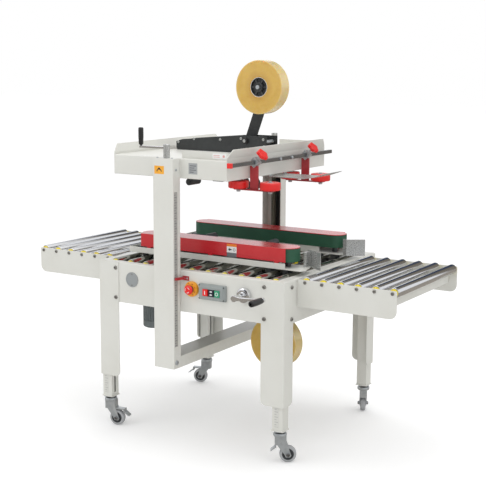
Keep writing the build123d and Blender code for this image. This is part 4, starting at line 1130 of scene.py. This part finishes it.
crank = {"boss": [(0.0005, 0.0286), (0.013, 0.0286), (0.0165, 0.0275), (0.0185, 0.025), (0.0195, 0.021),
                  (0.0195, 0.0145), (0.0205, 0.014), (0.030, 0.014), (0.031, 0.013), (0.031, 0.0092),
                  (0.072, 0.0090)],
         "screwRadius": 0.0088, "screwShort": 0.075, "eye": 0.0125, "gripEye": 0.0098, "neckStart": 0.030,
         "neckEnd": 0.022, "neckWide": 0.0055, "neckNarrow": 0.0050, "gripDome": 0.006}


def makeWidthArm(start, end, low, high):
    # a slim arm between two eyes; each eye is an arc and the neck draws in between them
    heading = math.atan2(*(end - start)[::-1])
    along = np.array((math.cos(heading), math.sin(heading)))
    side = np.array((-along[1], along[0]))

    def eye(centre, radius, turns):
        return [centre + radius * (math.cos(a) * along + math.sin(a) * side) for a in turns]

    wide, narrow = crank["neckWide"] * side, crank["neckNarrow"] * side
    neckStart, neckEnd = start + crank["neckStart"] * along, end - crank["neckEnd"] * along
    outline = eye(start, crank["eye"], np.linspace(0.9, 5.38, 16)) + [neckStart - wide, neckEnd - narrow]
    outline += eye(end, crank["gripEye"], np.linspace(-2.2, 2.2, 14)) + [neckEnd + narrow, neckStart + wide]
    addPiece("widthArm", prism(outline, "y", low, high), "chrome", "width_crank", ["width_crank"], 0.0024, 3)


def makeWidthGrip(origin, radius, length):
    # a grip whose radius swells by a sine along its length and ends in a dome
    swell = [(0.004 + (length - 0.010) * t, radius * (0.80 + 0.20 * math.sin(math.pi * (0.15 + 0.6 * t))))
             for t in np.linspace(0, 1, 10)]
    dome = [(length - crank["gripDome"] * (1 - math.sin(a)),
             swell[-1][1] - crank["gripDome"] * (1 - math.cos(a)))
            for a in np.linspace(0, math.pi / 2, 6)[1:]]
    grip = lathe([(0, radius * 0.6)] + swell + dome, origin, (0, -1, 0), 40)
    addPiece("widthGrip", grip, "grip", "width_crank", ["width_crank"])
    profile = [(length - 0.003, 0.0058), (length - 0.0006, 0.0058), (length, 0.0050)]
    pin = lathe(profile, origin, (0, -1, 0), 24)
    addPiece("widthGripPin", pin, "chrome", "width_crank", ["width_crank"])


def makeCrank():
    node = "width_crank"
    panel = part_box("bed_panels")[0].y
    x, _, z = jointOf[node]["pos_m"]
    gripX, gripZ = next((middle[0], middle[2]) for size, middle in
                        (extent(island)[2:] for island in islands(node)) if 0.05 < size[1] < 0.5)
    for island in islands(node):
        low, high, size, middle = extent(island)
        if size[1] > 0.5:
            addPiece("widthBoss", lathe(crank["boss"], (x, panel, z), (0, -1, 0), 56), "chrome", node, [node])
            radius = crank["screwRadius"]
            thread = lathe([(0, radius), (size[1] - crank["screwShort"], radius)], (x, panel - 0.001, z),
                           (0, 1, 0), 24)
            addPiece("widthScrew", thread, "zinc", node, [node])
        elif size[1] > 0.05:
            makeWidthGrip((middle[0], high[1], middle[2]), size[2] / 2, size[1])
        else:
            makeWidthArm(np.array((x, z)), np.array((gripX, gripZ)), low[1], high[1])


head = {"plateTop": 0.069, "plateY": 0.043, "screwRadius": 0.0055, "screwHeight": 0.003, "bossX": 0.052,
        "bossDrop": 0.020, "bossRadius": 0.0125, "bossLength": 0.0112, "bossScrew": 0.0065,
        "bossScrewOut": 0.011, "screws": [(-0.279, 0.038), (-0.200, 0.022), (-0.070, 0.020), (0.135, 0.012),
                                          (0.138, 0.040),
                   (0.030, 0.012)]}


def makeHeads():
    for node in ("top_tape_head", "lower_tape_head"):
        fromCad(node, [
            ("plates", "black", lambda size, middle: size[0] > 0.3),
            ("rollBar", "black", lambda size, middle: size[2] > 0.15 and size[0] > 0.05),
            ("knifeBlock", "darkSteel", lambda size, middle: size[2] > 0.05 and size[0] < 0.06),
            ("pins", "zinc", anything)], 0.0006)
    for node in ("top_front_arm", "top_rear_arm", "lower_front_arm", "lower_rear_arm"):
        fromCad(node, [
            ("roller", "hub", lambda size, middle: abs(size[0] - size[2]) < 0.001 and size[0] < 0.035),
            ("cheeks", "black", anything)], 0.0006)
    # screws by their place along the plate and their drop below its top edge
    top, plateY = mastHigh.z + head["plateTop"], middleY - head["plateY"]
    heads = [buttonHead((x, plateY, top - drop), (0, -1, 0), head["screwRadius"], head["screwHeight"])
             for x, drop in head["screws"]]
    x, z = head["bossX"], top - head["bossDrop"]
    heads.append(buttonHead((x, plateY - head["bossScrewOut"], z), (0, -1, 0), head["bossScrew"],
                            head["screwHeight"]))
    addPiece("headScrews", join(*heads), "stainless", "mast", ["top_tape_head"])
    boss = roundedRod((x, plateY, z), (0, -1, 0), head["bossRadius"], head["bossLength"], 0.002)
    addPiece("headBoss", boss, "grip", "mast", ["top_tape_head"])


tapeRoll = {"core": 0.039, "hubFront": 0.003, "edge": 0.0012, "face": 0.0006, "rings": 34,
            "ringDepth": 0.0005, "ringWaves": 900, "spokes": 6, "spokeStart": 0.017, "spokeEnd": 0.034,
            "spokeHalf": 0.003, "spokeFront": 0.0035, "spokeBack": 0.009}


def makeTapeRoll(node):
    # the film's faces ripple by a sine of the radius, fading out at the core and the rim
    low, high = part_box(node)
    x, z = (low.x + high.x) / 2, (low.z + high.z) / 2
    outer, core, edge = (high.x - low.x) / 2, tapeRoll["core"], tapeRoll["edge"]
    near = low.y + tapeRoll["hubFront"]
    width = high.y - near
    origin, along = (x, near, z), (0, 1, 0)
    radii = np.linspace(core + edge, outer - edge, tapeRoll["rings"])
    fade = np.sin(math.pi * (radii - core) / (outer - core))
    ripple = np.abs(tapeRoll["ringDepth"] * np.sin(radii * tapeRoll["ringWaves"]) * fade)
    face = np.stack([tapeRoll["face"] + ripple, radii], -1)
    rim = [(edge, outer), (width - edge, outer)]
    bore = [(width - edge, core), (edge, core)]
    profile = np.concatenate([face, rim, fromOtherEnd(face, width), bore])
    shape = lathe(profile, origin, along, 96, closed=True)
    mesh = addPiece(f"{node}_film", shape, "tape", node, [node]).data
    places = vertexPlaces(mesh)
    storeValues(mesh, "windings", np.hypot(places[:, 0] - x, places[:, 2] - z) * filmRings["perRadius"])
    inset, front, back = 0.0015, core - 0.0002, core - 0.0014
    card = lathe([(inset, front), (width - inset, front), (width - inset, back), (inset, back)], origin,
                 along, 64, closed=True)
    addPiece(f"{node}_core", card, "white", node, [node])
    profile = [(0.004, 0.009), (0.004, 0.0165), (0.0075, 0.018), (0.0075, 0.0325), (0.002, 0.0345),
               (0.002, core - 0.0015), (width - 0.002, core - 0.0015), (width - 0.002, 0.0345),
               (width - 0.008, 0.0325), (width - 0.008, 0.018), (width - 0.004, 0.0165),
               (width - 0.004, 0.009)]
    hub = lathe(profile, origin, along, 64, closed=True)
    nose = lathe([(-0.003, 0.0095), (-0.003, 0.0175), (-0.0015, 0.0193), (0.006, 0.0195), (0.006, 0.0095)],
                 origin, along, 48, closed=True)
    spokes = []
    for angle in np.arange(tapeRoll["spokes"]) * 2 * math.pi / tapeRoll["spokes"]:
        out = np.array((math.cos(angle), math.sin(angle)))
        half = np.array((-out[1], out[0])) * tapeRoll["spokeHalf"]
        start, end = [np.array((x, z)) + out * reach
                      for reach in (tapeRoll["spokeStart"], tapeRoll["spokeEnd"])]
        spokes.append(prism([start - half, start + half, end + half, end - half], "y",
                            near + tapeRoll["spokeFront"], near + tapeRoll["spokeBack"]))
    addPiece(f"{node}_hub", join(hub, nose, *spokes), "black", node, [node])


makeMast()
makeScrews()
makePressGear()
makeBelts()
makeCrank()
makeHeads()
for roll in ("top_tape_roll", "bottom_tape_roll"):
    makeTapeRoll(roll)
fromCad("bed_guides", [
    ("rods", "chrome", lambda size, middle: size[1] > 0.5),
    ("rails", "stainless", lambda size, middle: size[0] > 0.5),
    ("nuts", "darkSteel", anything)], 0.0008)
fromCad("flap_guide", [("tongue", "stainless", anything)], 0.0007)
fromCad("inner_legs", [("tubes", "cream", anything)], 0.0010)
print("mast, belts, tape heads made")


caster = {"cup": [(0.008, 0.0210), (0.0095, 0.0245), (0.0125, 0.0258), (0.0185, 0.0258), (0.0215, 0.0240),
                  (0.0225, 0.0200)],
          "collar": [(0.0005, 0.0200), (0.0090, 0.0215)], "half": 0.011, "edge": 0.005, "tyreBore": 0.0225,
          "hub": [(0.0006, 0.0050), (0.0006, 0.0085), (0.0028, 0.0100), (0.0028, 0.0190), (0.0008, 0.0200),
                  (0.0008, 0.0224)],
          "cheekReach": 0.013, "nutSink": 0.0002, "nutRadius": 0.0075, "nutHeight": 0.0045}


def makeCasters():
    for corner in ("infeed_near", "outfeed_near", "infeed_far", "outfeed_far"):
        fork, wheel = f"caster_fork_{corner}", f"caster_wheel_{corner}"
        fromCad(fork, [("fork", "zinc", anything)])
        post = jointOf[fork]["pos_m"]
        top = (post[0], post[1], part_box(fork)[1].z)
        addPiece(f"{fork}_cup", lathe(caster["cup"], top, (0, 0, -1), 48), "zinc", fork, [fork])
        addPiece(f"{fork}_collar", lathe(caster["collar"], top, (0, 0, -1), 40), "grip", fork, [fork])
        centre, axis = Vector(jointOf[wheel]["pos_m"]), Vector(jointOf[wheel]["axis"]).normalized()
        # the cheeks are the parts of the fork near the axle; the nuts sit on their outsides
        away = cadShape(fork)[0] - np.array(centre)
        reach = away @ np.array(axis)
        nearAxle = np.linalg.norm(away - reach[:, None] * np.array(axis), axis=1) < caster["cheekReach"]
        cheek = np.abs(reach[nearAxle]).max() - caster["nutSink"]
        nuts = [buttonHead(centre + axis * side * cheek, axis * side, caster["nutRadius"],
                           caster["nutHeight"])
                for side in (-1, 1)]
        addPiece(f"{fork}_nuts", join(*nuts), "bar", fork, [fork])
        low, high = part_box(wheel)
        rim = rimRound(caster["edge"], (high.z - low.z) / 2)
        halves = {"tyre": np.concatenate([[(0, caster["tyreBore"])], rim]), "hub": np.array(caster["hub"])}
        for (label, half), segments in zip(halves.items(), (56, 48)):
            half = half - (caster["half"], 0)
            profile = np.concatenate([half, fromOtherEnd(half, 0)])
            shape = lathe(profile, centre, axis, segments, closed=True)
            addPiece(f"{wheel}_{label}", shape, label, wheel, [wheel])


def rulerPiece(name, corners, body, node, across, finish="ruler"):
    # a strip as thin as a sticker, with its height and its share across stored for the ticks
    mesh = addPiece(name, box(*corners), finish, body, [node]).data
    places = vertexPlaces(mesh)
    low, high = places.min(0), places.max(0)
    storeValues(mesh, "rulerHeight", places[:, 2])
    storeValues(mesh, "rulerAcross", (places[:, across] - low[across]) / (high[across] - low[across]))


sticker = {"thickness": 0.0003, "sink": 0.0001, "ink": 0.00048}


def stickerBox(x, z, face):
    return box((x[0], face - sticker["thickness"], z[0]), (x[1], face + sticker["sink"], z[1]))


def inkBox(x, z, face):
    return box((x[0], face - sticker["ink"], z[0]), (x[1], face, z[1]))


def inkDot(x, z, face, radius):
    return lathe([(0, radius), (sticker["ink"], radius)], (x, face, z), (0, -1, 0), 20)


rulers = {"mastY": (0.006, 0.026), "mastZ": (0.395, 1.000), "legX": 0.4065, "legY": 0.0035,
          "legReach": (0.012, 0.008), "legZ": (0.140, 0.300)}


def makeRulers():
    face, near = mastHigh.x, mastLow.y
    low, high = [(edge, near + y, z) for edge, y, z in
                 zip((face - sticker["sink"], face + sticker["thickness"]), rulers["mastY"], rulers["mastZ"])]
    rulerPiece("mastRuler", (low, high), "mast", "mast_columns", 1)
    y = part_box("inner_legs")[0].y + rulers["legY"]
    for sideX, label in ((1, "Infeed"), (-1, "Outfeed")):
        x = sideX * rulers["legX"]
        low = (x - rulers["legReach"][0], y - sticker["thickness"], rulers["legZ"][0])
        high = (x + rulers["legReach"][1], y + sticker["sink"], rulers["legZ"][1])
        rulerPiece(f"legRuler{label}", (low, high), "inner_legs", "inner_legs", 0, "legRuler")


yellowSticker = {"x": (-0.118, -0.073), "z": (1.068, 1.099), "markX": -0.0955, "markZ": 1.077, "dotZ": 1.0885,
                 "arch": (0.012, 0.0085), "dot": 0.0042}
ratingPlate = {"x": (0.010, 0.050), "z": (1.070, 1.112), "lineX": (0.015, 0.045), "line": 0.0035,
               "lines": ((1.100, 0.0), (1.092, 0.008), (1.084, 0.0), (1.076, 0.012))}
deckLabel = {"x": (0.110, 0.172), "z": (1.133, 1.152), "barX": (0.114, 0.142), "bars": (1.138, 1.144),
             "bar": 0.002, "dotX": 0.160, "dotZ": 1.1425, "dot": 0.005}
coverLabel = {"x": (0.0955, 0.1405), "drop": 0.004, "arrowX": 0.1015, "ringX": 0.1295, "markDrop": 0.022,
              "ring": (0.0058, 0.0040),
              "fields": (("Header", "orange", 0.010, 0), ("Field", "white", 0.034, 0.010),
                         ("Foot", "greyInk", 0.052, 0.034)),
              "arrow": [(0, 0), (0.008, 0.0065), (0.008, 0.0025), (0.016, 0.0025), (0.016, -0.0025),
                        (0.008, -0.0025), (0.008, -0.0065)]}
columnBolts = {"back": 0.018, "boltZ": 0.330, "clipZ": 1.085, "capX": (-0.112, -0.044), "capBack": 0.012}


def makeCoverLabel():
    # three fields one below the other, with an arrow and a ring on the middle one
    low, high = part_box("belt_cover_near")
    top, face = high.z - coverLabel["drop"], low.y
    body, node = "belt_unit_near", "belt_cover_near"
    for label, finish, lower, upper in coverLabel["fields"]:
        strip = stickerBox(coverLabel["x"], (top - lower, top - upper), face)
        addPiece(f"coverLabel{label}", strip, finish, body, [node])
    z, (outer, inner) = top - coverLabel["markDrop"], coverLabel["ring"]
    outline = [(coverLabel["arrowX"] + dx, z + dz) for dx, dz in coverLabel["arrow"]]
    arrow = prism(outline, "y", face - sticker["ink"], face)
    profile = [(0, outer), (sticker["ink"], outer), (sticker["ink"], inner), (0, inner)]
    ring = lathe(profile, (coverLabel["ringX"], face, z), (0, -1, 0), 24, closed=True)
    addPiece("coverLabelMark", join(arrow, ring), "ink", body, [node])


def makeStickers():
    makeRulers()
    near, label = mastLow.y, yellowSticker
    addPiece("stickerYellow", stickerBox(label["x"], label["z"], near), "amber", "mast", ["mast_columns"])
    arch = ringArc((label["markX"], label["markZ"]), *label["arch"], 0, np.linspace(math.pi, 0, 13))
    mark = join(prism(arch, "y", near - sticker["ink"], near),
                inkDot(label["markX"], label["dotZ"], near, label["dot"]))
    addPiece("stickerYellowMark", mark, "ink", "mast", ["mast_columns"])
    label = ratingPlate
    addPiece("ratingPlate", stickerBox(label["x"], label["z"], armY), "disc", "mast", ["top_frame"])
    left, right = label["lineX"]
    lines = [inkBox((left, right - cut), (z, z + label["line"]), armY) for z, cut in label["lines"]]
    addPiece("ratingPlateLines", join(*lines), "greyInk", "mast", ["top_frame"])
    label, upY = deckLabel, armY + mast["upstandBack"]
    addPiece("deckLabel", stickerBox(label["x"], label["z"], upY), "white", "mast", ["top_frame"])
    bars = [inkBox(label["barX"], (z, z + label["bar"]), upY) for z in label["bars"]]
    bars.append(inkDot(label["dotX"], label["dotZ"], upY, label["dot"]))
    addPiece("deckLabelInk", join(*bars), "pinkInk", "mast", ["top_frame"])
    makeCoverLabel()
    caps = [buttonHead((x, near + columnBolts["capBack"], mastHigh.z), (0, 0, 1), 0.0042, 0.003)
            for x in columnBolts["capX"]]
    y = near + columnBolts["back"]
    bolt = buttonHead((mastHigh.x, y, columnBolts["boltZ"]), (1, 0, 0), 0.010, 0.004)
    clip = buttonHead((mastHigh.x, y, columnBolts["clipZ"]), (1, 0, 0), 0.005, 0.003)
    addPiece("columnBolts", join(bolt, clip, *caps), "zinc", "mast", ["mast_columns"])


makeCasters()
makeStickers()
print("casters and stickers made")


# places along the ramp run from the world's -X side to its +X side
studio = {"pale": (0.92, 0.93, 0.95, 1), "navy": (0.035, 0.055, 0.10, 1), "brown": (0.12, 0.11, 0.10, 1),
          "tan": (0.20, 0.18, 0.15, 1), "ceilingStart": 0.60, "ceilingSlope": 6.0,
          "ceiling": (1.1, 1.1, 1.1, 1), "soft": (0.93, 0.93, 0.93, 1), "seen": (1, 1, 1, 1),
          "bands": ((0.0, "pale"), (0.295, "pale"), (0.312, "navy"), (0.40, "navy"), (0.45, "brown"),
                    (0.54, "tan"), (0.63, "tan"), (0.67, "pale"), (1.0, "pale"))}


def makeWorld():
    # plain white for the camera and soft light; mirrors see a white ceiling over upright bands of colour
    world = bpy.data.worlds.new("studio")
    world.use_nodes = True
    tree = world.node_tree
    background = tree.nodes["Background"]
    direction = tree.nodes.new("ShaderNodeTexCoord").outputs["Generated"]
    split = tree.nodes.new("ShaderNodeSeparateXYZ")
    tree.links.new(direction, split.inputs[0])
    ramp = tree.nodes.new("ShaderNodeValToRGB")
    stops = ramp.color_ramp.elements
    while len(stops) < len(studio["bands"]):
        stops.new(0.5)
    for element, (place, colour) in zip(stops, studio["bands"]):
        element.position = place
        element.color = studio[colour]
    across = mathNode(tree, "ADD", mathNode(tree, "MULTIPLY", split.outputs["X"], 0.5), 0.5)
    tree.links.new(across, ramp.inputs["Fac"])
    ceiling = rampNode(tree, split.outputs["Z"], studio["ceilingStart"], studio["ceilingSlope"])
    pattern = mixColour(tree, ceiling, ramp.outputs["Color"], studio["ceiling"])
    path = tree.nodes.new("ShaderNodeLightPath").outputs
    colour = mixColour(tree, path["Is Glossy Ray"], studio["soft"], pattern)
    tree.links.new(mixColour(tree, path["Is Camera Ray"], colour, studio["seen"]), background.inputs["Color"])
    bpy.context.scene.world = world
    bpy.context.scene.view_settings.view_transform = "Standard"


floorLook = {"half": 30.0, "depth": -0.02, "gap": 0.0001, "colour": (0.95, 0.95, 0.95, 1),
             "mirrored": (0.34, 0.31, 0.27, 1), "lift": 0.14}


def makeStage():
    # a pale slab just under the object; it is darker in mirrors and a little brighter for the camera
    half = floorLook["half"]
    outline = [(-half, -half), (half, -half), (half, half), (-half, half)]
    shape = prism(outline, "z", floorLook["depth"], cadBox[0][2] - floorLook["gap"])
    mesh = bpy.data.meshes.new("floor")
    mesh.from_pydata(shape[0].tolist(), [], shape[1])
    material = bpy.data.materials.new("floorPaint")
    material.use_nodes = True
    tree = material.node_tree
    shader = principledOf(material)
    path = tree.nodes.new("ShaderNodeLightPath").outputs
    seen = mixColour(tree, path["Is Glossy Ray"], floorLook["colour"], floorLook["mirrored"])
    lift = mathNode(tree, "MULTIPLY", path["Is Camera Ray"], floorLook["lift"])
    tree.links.new(seen, shader.inputs["Base Color"])
    tree.links.new(lift, shader.inputs["Emission Strength"])
    setSockets(shader, {"Roughness": 0.9, "Specular IOR Level": 0.1, "Emission Color": (1, 1, 1, 1)})
    mesh.materials.append(material)
    floor = bpy.data.objects.new("floor", mesh)
    bpy.context.scene.collection.objects.link(floor)


lights = {"key": ((-2.2, -3.2, 3.6), (2.4, 2.4), 22), "overhead": ((0.3, 0.3, 3.8), (2.5, 1.6), 30)}
lightTarget = (0, 0, 0.7)


def addLight(name, place, target, size, energy):
    light = bpy.data.lights.new(name, "AREA")
    light.shape = "RECTANGLE"
    light.size, light.size_y = size
    light.energy = energy
    lamp = bpy.data.objects.new(name, light)
    lamp.location = place
    lamp.rotation_euler = (Vector(target) - Vector(place)).to_track_quat("-Z", "Y").to_euler()
    bpy.context.scene.collection.objects.link(lamp)


view = {"place": (2.4168, -3.7498, 1.5060), "back": (0.5267, -0.8344, 0.1626), "roll": 0.24, "lens": 81.93,
        "sensor": 36}


def makeCamera():
    back = Vector(view["back"]).normalized()
    right = Vector((0, 0, 1)).cross(back).normalized()
    up = back.cross(right)
    turn = Matrix((right, up, back)).transposed() @ Matrix.Rotation(math.radians(view["roll"]), 3, "Z")
    data = bpy.data.cameras.new("camera")
    data.lens = view["lens"]
    data.sensor_width = view["sensor"]
    camera = bpy.data.objects.new("camera", data)
    camera.matrix_world = Matrix.Translation(view["place"]) @ turn.to_4x4()
    bpy.context.scene.collection.objects.link(camera)
    bpy.context.scene.camera = camera


makeWorld()
makeStage()
for name, (place, size, watts) in lights.items():
    addLight(name, place, lightTarget, size, watts)
makeCamera()
